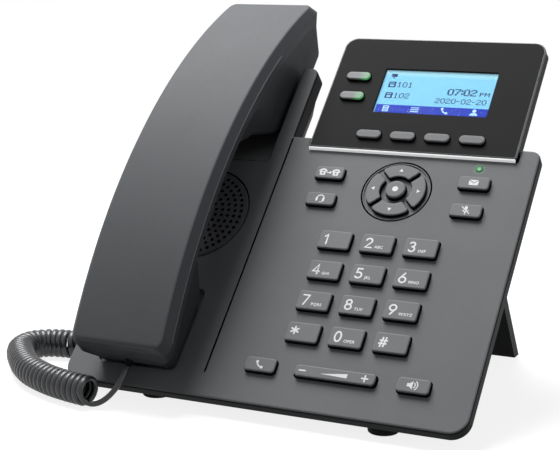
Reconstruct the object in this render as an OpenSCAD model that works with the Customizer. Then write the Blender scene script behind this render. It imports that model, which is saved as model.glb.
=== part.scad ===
// Desk IP phone: a sloping keypad housing with a display head, a corded handset
// that lies in a cradle on the left, and a fold-out stand behind.
// Most pieces are drawn on the keypad face: x across it, y up its slope, z out of it.

/* [Housing] */
// Width of the keypad face
face_w = 182.4; // [180:0.1:188]
// Length of the keypad face up its slope
face_l = 137; // [136:0.5:140]
// Slope of the keypad face above the table
slope = 45; // [44:0.5:46]
// Depth of the housing under the face
housing_d = 25; // [24:0.5:28]
// Wall of the plastic shells
wall = 2.5; // [2:0.1:2.8]
// Height of the side band that belongs to the upper shell
skirt = 5; // [4.5:0.1:5.5]
// Corner radius of the face
corner_r = 8; // [5:0.5:10]
// How far each side draws in towards the back
side_draw = 8; // [4:0.5:9]
// Height of the rubber feet
foot_h = 4.1; // [3:0.1:6]
// Radius of the rubber feet
foot_r = 6.5; // [5:0.5:8]

/* [Cradle] */
// Width of the cradle strip left of the seam
cradle_w = 65.8; // [64:0.1:68]
// Width of the seam groove
seam_w = 0.8; // [0.4:0.1:1.2]
// Length of the horn that holds the ear end, past the top of the face
horn_l = 41; // [38:0.5:44]
// Height of the horn's upper side wall
horn_skirt = 8; // [7:0.5:9]
// Depth of the ear pocket
ear_pocket_d = 14.6; // [14.5:0.1:15.5]
// Depth of the mouth pocket
mouth_pocket_d = 2; // [2:0.1:3]

/* [Display head] */
// Width of the display head
head_w = 97; // [90:0.5:100]
// Length of the display head
head_l = 65.5; // [62:0.5:70]
// Height of the display frame over the face
head_rise = 2; // [1:0.1:4]
// Height of the frame's side wall under the face
head_skirt = 3.8; // [3:0.1:4.5]
// Depth of the display head's rear cover under the face
head_d = 16; // [14:0.5:20]
// Width of the visible screen
screen_w = 53.6; // [48:0.2:56]
// Height of the visible screen
screen_l = 25.3; // [22:0.1:28]
// Thickness of the screen's clear cover
window_t = 1.4; // [1:0.1:1.8]

/* [Keys] */
// Width of a dial key
dial_w = 14.55; // [12:0.05:16]
// Length of a dial key
dial_l = 9; // [7:0.1:11]
// Distance between dial key columns
dial_pitch_x = 19.5; // [18.5:0.1:20]
// Distance between dial key rows
dial_pitch_y = 15.5; // [13.5:0.1:16]
// Width of a function key
func_w = 13.6; // [11:0.1:14]
// Length of a function key
func_l = 6.4; // [5:0.1:8]
// Width of the volume rocker
volume_w = 35; // [30:0.5:38]
// Length of the volume rocker
volume_l = 5.2; // [4.5:0.1:5.5]
// Width of a screen key
soft_w = 11.7; // [9:0.1:12.5]
// Length of a screen key
soft_l = 4.4; // [3.5:0.1:5]
// Height of the key tops over the face
key_rise = 2; // [1:0.1:2.5]
// Travel of a key
key_travel = 1; // [0.6:0.1:1]
// Gap around each key in its window
key_gap = 0.35; // [0.2:0.05:0.5]
// Outer radius of the four arrow keys
arrow_r = 13.4; // [12:0.1:14]
// Inner radius of the four arrow keys
arrow_inner_r = 7.3; // [6.8:0.1:8]
// Radius of the OK key in the middle
ok_r = 4.5; // [4:0.1:5]

/* [Speaker] */
// Radius of the speaker grille
grille_r = 25; // [23:0.5:26]
// Radius of the loudspeaker
speaker_r = 22.5; // [18:0.5:23]

/* [Handset] */
// Radius of the long curve of the handset's back
handset_r = 260; // [255:1:270]
// Width of the handset across its flat back
handset_flat_w = 42.8; // [40:0.2:44]
// Width of the handset at its parting line
handset_w = 48.4; // [46:0.2:50]
// Height of the handset's top over the face
handset_top = 35.4; // [34:0.1:38]
// Height of the outer shell, from its back to the parting line
handset_bevel = 4; // [3:0.1:5]
// Wall of the handset shells
handset_wall = 2; // [1.5:0.1:2.5]
// Travel of the hook plunger
hook_travel = 3; // [2:0.1:3]

/* [Stand] */
// Width of the stand
stand_w = 141.4; // [130:0.2:144]
// Thickness of the stand
stand_t = 5.3; // [4.5:0.1:6]
// Lean of the stand from upright
stand_lean = 34.6; // [30:0.2:38]
// Distance of the stand's hinge up the face
hinge_y = 108; // [100:0.5:112]
// Radius of the stand's hinge pins
hinge_pin_r = 1.6; // [1.2:0.1:2]

/* [Cord] */
// Outer diameter of the coiled cord
coil_d = 13.4; // [12:0.1:14]
// Diameter of the cord itself
cord_d = 2.4; // [2.2:0.1:3]

/* [Hidden] */
DIAL = ["1", "2", "3", "4", "5", "6", "7", "8", "9", "star", "0", "hash"];
ARROWS = ["right", "up", "left", "down"];
SOFT_KEYS = 4;
LINE_KEYS = 2;

ROUND = 48;            // sides of a drawn circle; true arcs in the finished solids
FIT = 0.3;             // gap between pieces that fit one another
TOUCH = 0.1;           // gap between pieces of one body that lie on each other
RUN = 0.1;             // running clearance around a hinge pin
OVER = 1;              // how far a cut runs past the surface that it opens
SLIVER = 0.01;         // thickness of the outlines that a hull joins

// Housing outline on the face
left_x = -face_w / 2;
right_x = face_w / 2;
seam_x = left_x + cradle_w;
plate_t = wall;
back_w = face_w - 2 * side_draw;
front_cut = (housing_d - skirt) / tan(slope);
back_cut = 6;
horn_top = face_l + horn_l;
horn_corner_r = 6;
side_rate = side_draw / (housing_d - skirt);
horn_ledge = side_rate * (horn_skirt - skirt);
horn_end_draw = 6;
horn_end_solid = 10;
horn_lap = 7;
band_lap = 17;
hook_lip_t = 1;
pocket_wall = 1.2;
horn_d = ear_pocket_d + pocket_wall + FIT + hook_travel + hook_lip_t + TOUCH + wall;
horn_draw = side_rate * (horn_d - skirt);

// Cradle
cradle_x = (left_x + seam_x) / 2;
pocket_half_w = 24.6;
pocket_rim_y = face_l - 15;
pocket_foot_y = face_l + 11;
pocket_tub_end = horn_top - 6.5;
tub_corner_r = 5;
mouth_pocket_y = [10.2, 51];
mouth_pocket_half_w = 20;

// Display head
head_x = [seam_x + 10, seam_x + 10 + head_w];
head_y = [face_l - 6.5, face_l - 6.5 + head_l];
head_corner_r = 5;
head_draw = [8, 9];
frame_wall = 2.2;
screen_x = head_x[0] + 24.8 + screen_w / 2;
screen_y = head_y[0] + 34.4;
window_lip = 1.4;
lcd_top = -0.8;
lcd_t = 3.6;
lcd_margin = 3.4;
board_t = 1.6;
display_board_top = -4.6;
display_mat_t = 1.7;
soft_key_rise = 3.5;
soft_key_y = head_y[0] + 8;
soft_key_x = head_x[0] + 27.4;
soft_pitch = 16.07;
line_key_x = head_x[0] + 12.7;
line_key_y = [head_y[0] + 41.3, head_y[0] + 29.6];
board_side_gap = 5.4;
board_rear_gap = 7.8;
head_post_in = [14, 10, 16];

// Keys
keys_x = (seam_x + right_x) / 2 - 0.6;
nav = [keys_x, face_l - 26.6];
nav_groove_r = 15.7;
volume_at = [keys_x, 17.6];
dial_mid_y = (nav[1] - nav_groove_r + volume_at[1] + volume_l / 2) / 2 + 0.9;
dial_x = [for (i = [-1 : 1]) keys_x - 0.1 + i * dial_pitch_x];
dial_y = [for (i = [0 : 3]) dial_mid_y + (1.5 - i) * dial_pitch_y];
dial_corner_r = 1.1;
func_corner_r = 1.5;
lip = 0.8;
lip_t = 1.3;
key_seat = plate_t + 0.2;
nav_recess = 0.5;
nav_rise = 1.4;
spoke_w = 1.4;
transfer_at = [keys_x - 32.9, nav[1] + 6.3];
headset_at = [keys_x - 32.9, nav[1] - 8.1];
redial_at = [keys_x - 33.2, volume_at[1] + 0.2];
message_at = [keys_x + 33.9, nav[1] + 6.3];
mute_at = [keys_x + 33.9, nav[1] - 8.2];
speaker_at = [keys_x + 33.6, volume_at[1]];
func_places = [transfer_at, headset_at, redial_at, message_at, mute_at, speaker_at];
volume_end_gap = 0.7;
volume_axle_r = 1;
volume_axle_z = -4.2;
volume_hub_w = 4;
lug_t = 1.4;
light_at = [message_at[0], message_at[1] + 8.6];
light_r = 1.6;

// Boards and what stands on them
mat_t = 1.9;
mat_top = -(key_seat + lip_t + key_travel + FIT);
board_top = mat_top - mat_t;
jack_top = board_top - board_t;
board_x = [seam_x + 3.4, right_x - 13.2];
board_y = [8, face_l - 8];
mat_x = [seam_x + 13.4, right_x - 14.2];
mat_y = [12, face_l - 13.5];
bay_x = [keys_x - 40.3, keys_x + 23.7];
bay_y = [42, 70];
bay_roof = 11.6;
bay_wall = 2;
jack_depth = 16;
network_x = [keys_x - 28.3, keys_x - 8.3];
network_w = 16;
network_h = housing_d - wall - FIT - 0.2 + jack_top;
network_hole = [11.9, 8, 12];
power_x = keys_x + 13.7;
power_w = 9;
power_h = network_h - 2.2;
power_hole_r = 3.1;
power_pin_r = 1;
cord_port_y = [85, 70];
cord_port_z = -14;
cord_jack = [13, 11, 8.5];
cord_hole = [11, 8.2, 6.6];
cord_jack_x = left_x + 5;
pedestal = 8;
pedestal_in = 5;

// Screws: x and y on the face
screw_in = 15.2;
screw_places = [[left_x + screw_in, 28], [left_x + screw_in, face_l - 22],
    [right_x - screw_in, 30], [right_x - screw_in, 84]];
screw_r = 1.4;
screw_head_r = 2.7;
screw_head_t = 2.2;
screw_bore = 8;
boss_r = 4.5;
boss_h = 11;
post_r = 3.2;
board_posts = [[seam_x + 8.4, 32], [seam_x + 8.4, 88], [right_x - 20.2, 58], [keys_x + 7.7, face_l - 12]];
board_post_r = 3;

// Speaker
grille_y = face_l - 46.7;
grille_t = 1.6;
speaker_seat = plate_t + TOUCH;
speaker_ledge = 1;
speaker_ring_h = 3;
grille_pitch = 3.05;
grille_hole_r = 0.8;
speaker_d = 11;
magnet_r = 10.5;

// Handset
back_y = face_l - 41;
ear_end_y = horn_top + 32.6;
ear_low_y = horn_top + 21.2;
back_z = handset_top - handset_r;
split_r = handset_r - handset_bevel;
edge_r = split_r - 5.5;
grip_r = edge_r - 5.5;
edge_half_w = handset_w / 2 - 1.2;
grip_half_w = 16;
mouth_half_w = 18.5;
ear_z = -ear_pocket_d + 0.4;
mouth_z = -mouth_pocket_d + FIT;
ear_hollow_half_w = edge_half_w - handset_wall - 0.4;
handset_end_r = 5;
handset_end_wall = 3.2;
handset_reach = 60;
plan_margin = 0.4;
handset_ends = [7.6, ear_end_y];
mouth_end_y = 8.9;
sweep_ends = [-21, 26.5];
handset_profile = [[9.8, 40], [mouth_end_y, 20.9], [7.8, 11], [11.2, mouth_z], [45, mouth_z],
    [62, 13], [pocket_foot_y - 24, 13], [pocket_foot_y + 2, ear_z], [ear_low_y, ear_z],
    [ear_end_y - 4.4, -2.3], [ear_end_y, 5.7], [ear_end_y - 4.1, 40]];
ear_profile = [[pocket_foot_y - 36, 20], [pocket_foot_y - 20, 11], [pocket_foot_y + 2, ear_z],
    [ear_low_y, ear_z], [ear_end_y - 4.4, -2.3], [ear_end_y, 5.7], [ear_end_y - 2.1, 12.8],
    [ear_end_y - 18.7, 30]];
mouth_profile = [[8.2, 14], [7.8, 11], [11.2, mouth_z], [45, mouth_z], [66, 16], [66, 26], [9, 18]];
ear_hollow = [[pocket_foot_y - 30, 20], [pocket_foot_y - 18, 13.2],
    [pocket_foot_y + 3.2, ear_z + handset_wall], [ear_low_y - 1.2, ear_z + handset_wall],
    [ear_end_y - 6.7, -1.6], [ear_end_y - 2.7, 5.7], [ear_end_y - 4.7, 12], [ear_end_y - 18.7, 25]];
mouth_hollow = [[10.6, 14], [10.2, 11], [13, mouth_z + handset_wall],
    [44, mouth_z + handset_wall], [62, 15.4], [62, 25], [11.4, 18]];
receiver_y = horn_top - 2;
receiver_r = 15;
receiver_t = 6;
mic_y = 30;
mic_r = 4.85;
mic_t = 5;
weight = [20, 60, 5];
jack_z = 5.3;
jack_y = 9.9;
handset_jack_size = [11, 12.5, 8.5];
handset_jack_hole = [8.2, 11, 6.6];
plug = [7.6, 12.5, 6];
plug_out = 4;
hook_y = pocket_foot_y + 10;
hook_r = 3;
hook_lip_r = 4.4;

// Stand
hinge_barrel_r = stand_t / 2;
hinge_z = -(housing_d + 0.85 + hinge_barrel_r);
ear_gap = 0.5;
ear_t = 4;
ear_r = 3.6;
foot_bar = 6;
stand_skin = 2.3;
stand_rib = 3;

// Where the face lies in the world: its front edge is the line from which y is counted
face_lift = foot_h + skirt * cos(slope);
hinge_up = hinge_y * sin(slope) + hinge_z * cos(slope) + face_lift;
hinge_back = hinge_y * cos(slope) - hinge_z * sin(slope);
stand_len = hinge_up / cos(stand_lean);
mouth_top_z = back_z + sqrt(pow(handset_r, 2) - pow(back_y - mouth_end_y, 2));
front_most = mouth_end_y * cos(slope) - mouth_top_z * sin(slope);
rear_most = ear_low_y * cos(slope) - ear_z * sin(slope);
centre_y = (front_most + rear_most) / 2;
foot_in = 38.2;
foot_places = [[right_x - foot_in, 13], [left_x + foot_in, 16.5]];

// Cord routes: x from the middle, y from the face's front edge, height over the table
coil_r = coil_d / 2;
cord_r = cord_d / 2;
coil_route = [for (p = [[-69.8, -10.6], [-81.3, -8.3], [-94.3, -4.2], [-107.4, 2.5], [-115.2, 8.6],
    [-121.8, 15.2], [-129.6, 24.4], [-133.4, 31], [-133.8, 38.4], [-129.8, 44], [-123.6, 46.8],
    [-115.8, 48], [-109.5, 50.6], [-104.6, 55.5], [-102, 62], [-101.4, 70], [-101.4, 78]])
    [p[0], p[1], coil_r]];
base_tail_route = [[-90.3, 70, 57.85], [-95.6, 70.1, 57.4], [-99.4, 71.2, 54.2], [-101.4, 73.2, 48],
    [-102.6, 76.6, 40], [-103, 80.6, 32], [-103, 84.6, 24], [-102.8, 87.2, 17], [-102.2, 87.4, 11.4],
    [-101.8, 85.4, 7.8], [-101.4, 82, 6.7], [-101.4, 78.1, 6.7]];
handset_tail_route = [[-69.15, -11.05, 1.4], [-67.6, -12.2, 1.3], [-65.4, -12.8, 1.5],
    [-63.2, -12, 2.4], [-61.4, -9.8, 4.6], [-59.4, -6.6, 8], [-58.3, -3, 11.8], [-58.2, 0.39, 15.5]];

// Places a piece that is drawn on the face
module on_face() {
    translate([0, -centre_y, face_lift]) rotate([slope, 0, 0]) children();
}

// Rectangle with round corners, from its two opposite corners
module round_rect(x0, x1, y0, y1, r) {
    translate([x0 + r, y0]) square([x1 - x0 - 2 * r, y1 - y0]);
    translate([x0, y0 + r]) square([x1 - x0, y1 - y0 - 2 * r]);
    for (x = [x0 + r, x1 - r], y = [y0 + r, y1 - r]) translate([x, y]) circle(r, $fn = ROUND);
}

// Flat block with round corners between two heights
module block(x0, x1, y0, y1, z0, z1, r) {
    translate([0, 0, z0]) linear_extrude(z1 - z0) round_rect(x0, x1, y0, y1, r);
}

// Block with square corners between two heights
module brick(x0, x1, y0, y1, z0, z1) {
    translate([x0, y0, z0]) cube([x1 - x0, y1 - y0, z1 - z0]);
}

// Cylinder that stands on the face
module post(at, r, z0, z1) {
    translate([at[0], at[1], z0]) cylinder(h = z1 - z0, r = r, $fn = ROUND);
}

// Shape drawn in the plane of y and z, as thick as wanted along x
module across(x0, x1) {
    translate([x0, 0, 0]) rotate([90, 0, 90]) linear_extrude(x1 - x0) children();
}

// Tray that draws in towards the back: outlines [x0, x1, y0, y1] at two heights
module tray(top, bottom, z_top, z_bottom, r, inset, lift) {
    hull() {
        translate([0, 0, z_top - SLIVER + lift]) linear_extrude(SLIVER)
            round_rect(top[0] + inset, top[1] - inset, top[2] + inset, top[3] - inset,
                r - inset / 2, $fn = 32);
        translate([0, 0, z_bottom]) linear_extrude(SLIVER)
            round_rect(bottom[0] + inset, bottom[1] - inset, bottom[2] + inset, bottom[3] - inset,
                r - inset / 2, $fn = 32);
    }
}

// Key that slides in a window: its cap stands out, its lip lies under the plate
module sliding_key(at, w, l, r, seat, top) {
    translate([at[0], at[1], 0]) {
        block(-w / 2, w / 2, -l / 2, l / 2, -seat - lip_t, top, r);
        block(-w / 2 - lip, w / 2 + lip, -l / 2 - lip, l / 2 + lip, -seat - lip_t, -seat, r + lip);
    }
}

// Window in a plate for a sliding key
module key_window(at, w, l, r, z0, z1) {
    translate([at[0], at[1], 0])
        block(-w / 2 - key_gap, w / 2 + key_gap, -l / 2 - key_gap, l / 2 + key_gap, z0, z1, r + key_gap);
}

// Quarter of a ring between two radii, its straight sides held back from the diagonals
module quarter_ring(turn, inner, outer, back) {
    rotate(turn) difference() {
        intersection() {
            circle(outer, $fn = ROUND * 2);
            rotate(-45) translate([back, back]) square(2 * outer);
        }
        circle(inner, $fn = ROUND * 2);
    }
}

// Direction of a route at one of its points
function unit(v) = v / norm(v);
function heading(route, i) =
    unit(route[min(i + 1, len(route) - 1)] - route[max(i - 1, 0)]);

// Side directions carried along a route without twist
function carried(route, i, side) =
    let (t = heading(route, i), s = unit(side - (side * t) * t))
    i == len(route) - 1 ? [s] : concat([s], carried(route, i + 1, s));

// Solid tube along a route
module tube(route, r, sides) {
    start = cross(heading(route, 0), [0.2, 0.1, 1]);
    across_at = carried(route, 0, start);
    rings = len(route);
    points = [for (i = [0 : rings - 1], k = [0 : sides - 1])
        let (a = 360 * k / sides, s = across_at[i], u = cross(heading(route, i), s))
        route[i] + r * (cos(a) * s + sin(a) * u)];
    skin = [for (i = [0 : rings - 2], k = [0 : sides - 1])
        let (a = i * sides + k, b = i * sides + (k + 1) % sides)
        each [[a, a + sides, b + sides], [a, b + sides, b]]];
    first = [for (k = [0 : sides - 1]) k];
    last = [for (k = [sides - 1 : -1 : 0]) (rings - 1) * sides + k];
    polyhedron(points, concat(skin, [first, last]), convexity = 6);
}

// ---- Housing ----

// Wedge of ear pocket: the slope that the ear end follows, and its floor
module pocket_shape(drop, grow) {
    across(cradle_x - pocket_half_w - grow, cradle_x + pocket_half_w + grow)
        polygon([[pocket_rim_y - grow, drop], [pocket_foot_y - grow, -ear_pocket_d - grow],
            [grow > 0 ? pocket_tub_end : horn_top + OVER, -ear_pocket_d - grow],
            [grow > 0 ? pocket_tub_end : horn_top + OVER, drop]]);
}

// Round mark that the arrow keys lie in, with their windows and the OK key's
module nav_cuts() {
    translate([nav[0], nav[1], 0]) {
        translate([0, 0, -nav_recess]) linear_extrude(nav_recess + OVER)
            circle(nav_groove_r - 1, $fn = ROUND);
        translate([0, 0, -plate_t - OVER]) linear_extrude(plate_t + 2 * OVER) {
            circle(ok_r + key_gap, $fn = ROUND);
            for (i = [0 : 3])
                quarter_ring(90 * i, arrow_inner_r - key_gap, arrow_r + key_gap, spoke_w / 2);
        }
    }
}

module upper_housing() {
    color("#787a7e") on_face() difference() {
        union() {
            difference() {
                union() {
                    block(left_x, right_x, 0, face_l, -skirt, 0, corner_r);
                    block(left_x, seam_x, face_l - band_lap, horn_top, -skirt, 0, horn_corner_r);
                    intersection() {
                        block(left_x, seam_x, face_l - band_lap, horn_top, -horn_skirt, 0, horn_corner_r);
                        brick(left_x, seam_x, face_l, horn_top, -horn_skirt, 0);
                    }
                }
                block(left_x + wall, right_x - wall, wall, face_l - wall,
                    -skirt - OVER, -plate_t, corner_r - wall);
                block(left_x + wall, seam_x - wall, face_l - band_lap, horn_top - horn_end_solid,
                    -horn_skirt - OVER, -plate_t, horn_corner_r - wall);
            }
            intersection() {
                pocket_shape(-TOUCH, pocket_wall);
                block(cradle_x - pocket_half_w - pocket_wall, cradle_x + pocket_half_w + pocket_wall,
                    pocket_rim_y - 2 * wall, pocket_tub_end, -horn_d, -TOUCH, tub_corner_r);
            }
            block(cradle_x - mouth_pocket_half_w - wall, cradle_x + mouth_pocket_half_w + wall,
                mouth_pocket_y[0] - wall, mouth_pocket_y[1] + wall, -mouth_pocket_d - wall, -TOUCH, 4);
            difference() {
                post([cradle_x, grille_y], speaker_r + FIT + 2, -plate_t - speaker_ring_h, -TOUCH);
                post([cradle_x, grille_y], speaker_r + FIT, -plate_t - speaker_ring_h - OVER, -plate_t);
            }
            for (p = screw_places) post(p, post_r, boss_h - housing_d + TOUCH, -TOUCH);
            for (s = [-1, 1])
                translate([volume_at[0], volume_at[1] + s * (volume_l / 2 + key_gap + lug_t / 2), 0])
                    brick(-3, 3, -lug_t / 2, lug_t / 2, volume_axle_z - 2.2, -TOUCH);
        }
        pocket_shape(0, 0);
        pocket_shape(OVER, 0);
        block(cradle_x - mouth_pocket_half_w, cradle_x + mouth_pocket_half_w,
            mouth_pocket_y[0], mouth_pocket_y[1], -mouth_pocket_d, OVER, 3);
        brick(seam_x - seam_w / 2, seam_x + seam_w / 2, 11.6, face_l + OVER, -seam_w, OVER);
        brick(head_x[0] - FIT, head_x[1] + FIT, head_y[0] - FIT, face_l + OVER, -skirt - OVER, OVER);
        post([cradle_x, grille_y], grille_r, -grille_t, OVER);
        post([cradle_x, grille_y], speaker_r - speaker_ledge, -plate_t - OVER, 0);
        post(light_at, light_r + TOUCH, -plate_t - OVER, OVER);
        for (x = dial_x, y = dial_y)
            key_window([x, y], dial_w, dial_l, dial_corner_r, -plate_t - OVER, OVER);
        for (p = func_places) key_window(p, func_w, func_l, func_corner_r, -plate_t - OVER, OVER);
        key_window(volume_at, volume_w + 2 * (volume_end_gap - key_gap), volume_l, func_corner_r,
            -plate_t - OVER, OVER);
        nav_cuts();
        post([cradle_x, hook_y], hook_r + FIT, -horn_d, 0);
        for (p = screw_places) post(p, screw_r + TOUCH, -housing_d, -plate_t - wall);
        translate([volume_at[0], volume_at[1] - volume_l, volume_axle_z]) rotate([-90, 0, 0])
            cylinder(h = 2 * volume_l, r = volume_axle_r + RUN, $fn = ROUND);
        translate([volume_at[0], -OVER, -skirt + 1.2]) rotate([-90, 0, 0])
            cylinder(h = wall + 2 * OVER, r = 0.7, $fn = ROUND);
    }
}

// The three trays of the lower housing, under the face, the horn and the display head
module lower_trays(inset, lift) {
    tray([left_x, right_x, 0, face_l], [-back_w / 2, back_w / 2, front_cut, face_l - back_cut],
        -skirt, inset - housing_d, corner_r, inset, lift);
    tray([left_x + horn_ledge, seam_x - horn_ledge, face_l - horn_lap - inset, horn_top],
        [left_x + horn_draw - side_rate * inset, seam_x - horn_draw + side_rate * inset,
            face_l - horn_lap - inset, horn_top - horn_end_draw],
        -horn_skirt, inset - horn_d, horn_corner_r, inset, lift);
    tray([head_x[0], head_x[1], head_y[0], head_y[1]],
        [head_x[0] + head_draw[0], head_x[1] - head_draw[0], head_y[0], head_y[1] - head_draw[1]],
        -head_skirt, inset - head_d, head_corner_r, inset, lift);
}

// Ear on the back that holds one end of the stand's hinge
module hinge_ear(side) {
    x = stand_w / 2 + ear_gap;
    across(side > 0 ? x : -x - ear_t, side > 0 ? x + ear_t : -x) {
        translate([hinge_y, hinge_z]) circle(ear_r, $fn = ROUND);
        translate([hinge_y - ear_r, hinge_z]) square([2 * ear_r, -hinge_z - housing_d + SLIVER]);
    }
}

module lower_housing() {
    color("#232427") on_face() difference() {
        union() {
            difference() {
                lower_trays(0, 0);
                lower_trays(wall, OVER);
            }
            brick(head_x[0] + wall, head_x[1] - wall, head_y[0], head_y[0] + wall,
                -skirt - 1.8, -head_skirt);
            brick(bay_x[0] - bay_wall, bay_x[1] + bay_wall, bay_y[0] - bay_wall, bay_y[1] + bay_wall,
                SLIVER - housing_d, bay_wall - bay_roof);
            for (p = screw_places) post(p, boss_r, SLIVER - housing_d, boss_h - housing_d);
            for (p = board_posts) post(p, board_post_r, wall / 2 - housing_d, jack_top);
            for (x = [head_x[0] + head_post_in[0], head_x[1] - head_post_in[0]],
                y = [head_y[0] + head_post_in[1], head_y[1] - head_post_in[2]])
                post([x, y], board_post_r, wall / 2 - head_d, display_board_top - board_t);
            for (y = cord_port_y)
                brick(cord_jack_x + pedestal_in, cord_jack_x + pedestal_in + pedestal,
                    y - pedestal / 2, y + pedestal / 2, wall / 2 - housing_d,
                    cord_port_z - cord_jack[2] / 2);
            for (side = [-1, 1]) hinge_ear(side);
        }
        brick(cradle_x - pocket_half_w, cradle_x + pocket_half_w, horn_top - horn_end_solid,
            horn_top + OVER, -ear_pocket_d, 0);
        brick(cradle_x - pocket_half_w - pocket_wall - FIT, cradle_x + pocket_half_w + pocket_wall + FIT,
            face_l - 2 * wall, face_l + OVER, -horn_skirt, -skirt + OVER);
        brick(bay_x[0], bay_x[1], bay_y[0], bay_y[1], -housing_d - OVER, -bay_roof);
        for (x = network_x)
            brick(x - network_w / 2 - TOUCH, x + network_w / 2 + TOUCH, bay_y[1] - OVER,
                bay_y[1] + bay_wall + OVER, jack_top - network_h - TOUCH, jack_top + TOUCH);
        brick(power_x - power_w / 2 - TOUCH, power_x + power_w / 2 + TOUCH, bay_y[1] - OVER,
            bay_y[1] + bay_wall + OVER, jack_top - power_h - TOUCH, jack_top + TOUCH);
        for (y = cord_port_y)
            brick(left_x - OVER, cord_jack_x + 4, y - cord_jack[1] / 2 - TOUCH, y + cord_jack[1] / 2 + TOUCH,
                cord_port_z - cord_jack[2] / 2 - TOUCH, cord_port_z + cord_jack[2] / 2 + TOUCH);
        for (p = screw_places) {
            post(p, screw_head_r + 0.4, -housing_d - OVER, screw_bore - housing_d);
            post(p, screw_r + 0.3, -housing_d, boss_h - housing_d + OVER);
        }
        for (side = [-1, 1])
            translate([side * stand_w / 2, hinge_y, hinge_z]) rotate([0, side * 90, 0])
                cylinder(h = ear_gap + ear_t + OVER, r = hinge_pin_r + RUN, $fn = ROUND);
    }
}

module housing_screws() {
    color("#8a8c90") on_face() for (p = screw_places) {
        post(p, screw_head_r, screw_bore - housing_d - screw_head_t, screw_bore - housing_d);
        post(p, screw_r, screw_bore - housing_d - SLIVER, -plate_t - 2 * wall);
    }
}

module rubber_feet() {
    color("#1b1b1c") for (p = foot_places)
        translate([p[0], p[1] - centre_y, 0]) cylinder(h = foot_h - 2 * SLIVER, r = foot_r, $fn = ROUND);
}

// ---- Display head ----

function soft_at(i) = [soft_key_x + i * soft_pitch, soft_key_y];
function line_at(i) = [line_key_x, line_key_y[i]];

module display_frame() {
    color("#38393b") on_face() difference() {
        block(head_x[0], head_x[1], head_y[0], head_y[1], -head_skirt, head_rise, head_corner_r);
        block(head_x[0] + frame_wall, head_x[1] - frame_wall, head_y[0] + frame_wall,
            head_y[1] - frame_wall, -head_skirt - OVER, 0, head_corner_r - frame_wall);
        brick(screen_x - screen_w / 2, screen_x + screen_w / 2, screen_y - screen_l / 2,
            screen_y + screen_l / 2, -OVER, head_rise + OVER);
        for (i = [0 : SOFT_KEYS - 1])
            key_window(soft_at(i), soft_w, soft_l, soft_l / 2 - SLIVER, -OVER, head_rise + OVER);
        for (i = [0 : LINE_KEYS - 1])
            key_window(line_at(i), soft_w, soft_l, soft_l / 2 - SLIVER, -OVER, head_rise + OVER);
    }
}

module display_window() {
    color("#9fd3ea") on_face() {
        brick(screen_x - screen_w / 2 + TOUCH, screen_x + screen_w / 2 - TOUCH,
            screen_y - screen_l / 2 + TOUCH, screen_y + screen_l / 2 - TOUCH, -TOUCH, window_t);
        brick(screen_x - screen_w / 2 - window_lip, screen_x + screen_w / 2 + window_lip,
            screen_y - screen_l / 2 - window_lip, screen_y + screen_l / 2 + window_lip,
            -TOUCH - 0.6, -TOUCH);
    }
}

module lcd_module() {
    color("#3fb6e8") on_face()
        brick(screen_x - screen_w / 2 - lcd_margin, screen_x + screen_w / 2 + lcd_margin,
            screen_y - screen_l / 2 - lcd_margin, screen_y + screen_l / 2 + lcd_margin,
            lcd_top - lcd_t, lcd_top);
}

// Board behind the screen, with the rubber pads of the keys beside the screen on it
module display_board() {
    color("#1f6b3c") on_face() {
        brick(head_x[0] + board_side_gap, head_x[1] - board_side_gap, head_y[0] + board_side_gap,
            head_y[1] - board_rear_gap, display_board_top - board_t, display_board_top);
        brick(soft_at(0)[0] - soft_w / 2, soft_at(SOFT_KEYS - 1)[0] + soft_w / 2, soft_key_y - soft_l / 2,
            soft_key_y + soft_l / 2, display_board_top, display_board_top + display_mat_t);
        brick(line_key_x - soft_w / 2, line_key_x + soft_w / 2, line_key_y[1] - soft_l / 2,
            line_key_y[0] + soft_l / 2, display_board_top, display_board_top + display_mat_t);
    }
}

module soft_key(i) {
    color("#55585d") on_face()
        sliding_key(soft_at(i), soft_w, soft_l, soft_l / 2 - SLIVER, 0.2, soft_key_rise);
}

module line_key(i) {
    color("#5a5d61") on_face()
        sliding_key(line_at(i), soft_w, soft_l, soft_l / 2 - SLIVER, 0.2, soft_key_rise);
}

// ---- Keys and boards ----

module dial_key(i) {
    color("#808286") on_face()
        sliding_key([dial_x[i % 3], dial_y[floor(i / 3)]], dial_w, dial_l, dial_corner_r,
            key_seat, key_rise);
}

module function_key(at) {
    color("#808286") on_face() sliding_key(at, func_w, func_l, func_corner_r, key_seat, key_rise);
}

module arrow_key(i) {
    color("#808286") on_face() translate([nav[0], nav[1], 0]) {
        translate([0, 0, -key_seat - lip_t]) linear_extrude(key_seat + lip_t + nav_rise)
            quarter_ring(90 * i, arrow_inner_r, arrow_r, spoke_w / 2 + key_gap);
        translate([0, 0, -key_seat - lip_t]) linear_extrude(lip_t)
            quarter_ring(90 * i, arrow_inner_r - lip, arrow_r + lip, spoke_w / 2 - TOUCH);
    }
}

module ok_key() {
    color("#808286") on_face() {
        post(nav, ok_r, -key_seat - lip_t, key_rise);
        post(nav, ok_r + lip, -key_seat - lip_t, -key_seat);
    }
}

module volume_rocker() {
    color("#808286") on_face() translate([volume_at[0], volume_at[1], 0]) {
        block(-volume_w / 2, volume_w / 2, -volume_l / 2, volume_l / 2, -key_seat - 0.9, key_rise,
            func_corner_r);
        brick(-volume_hub_w / 2, volume_hub_w / 2, -volume_l / 2, volume_l / 2,
            volume_axle_z - volume_axle_r, -key_seat);
        translate([0, -volume_l / 2 - key_gap - lug_t, volume_axle_z]) rotate([-90, 0, 0])
            cylinder(h = volume_l + 2 * (key_gap + lug_t), r = volume_axle_r, $fn = ROUND);
    }
}

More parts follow.
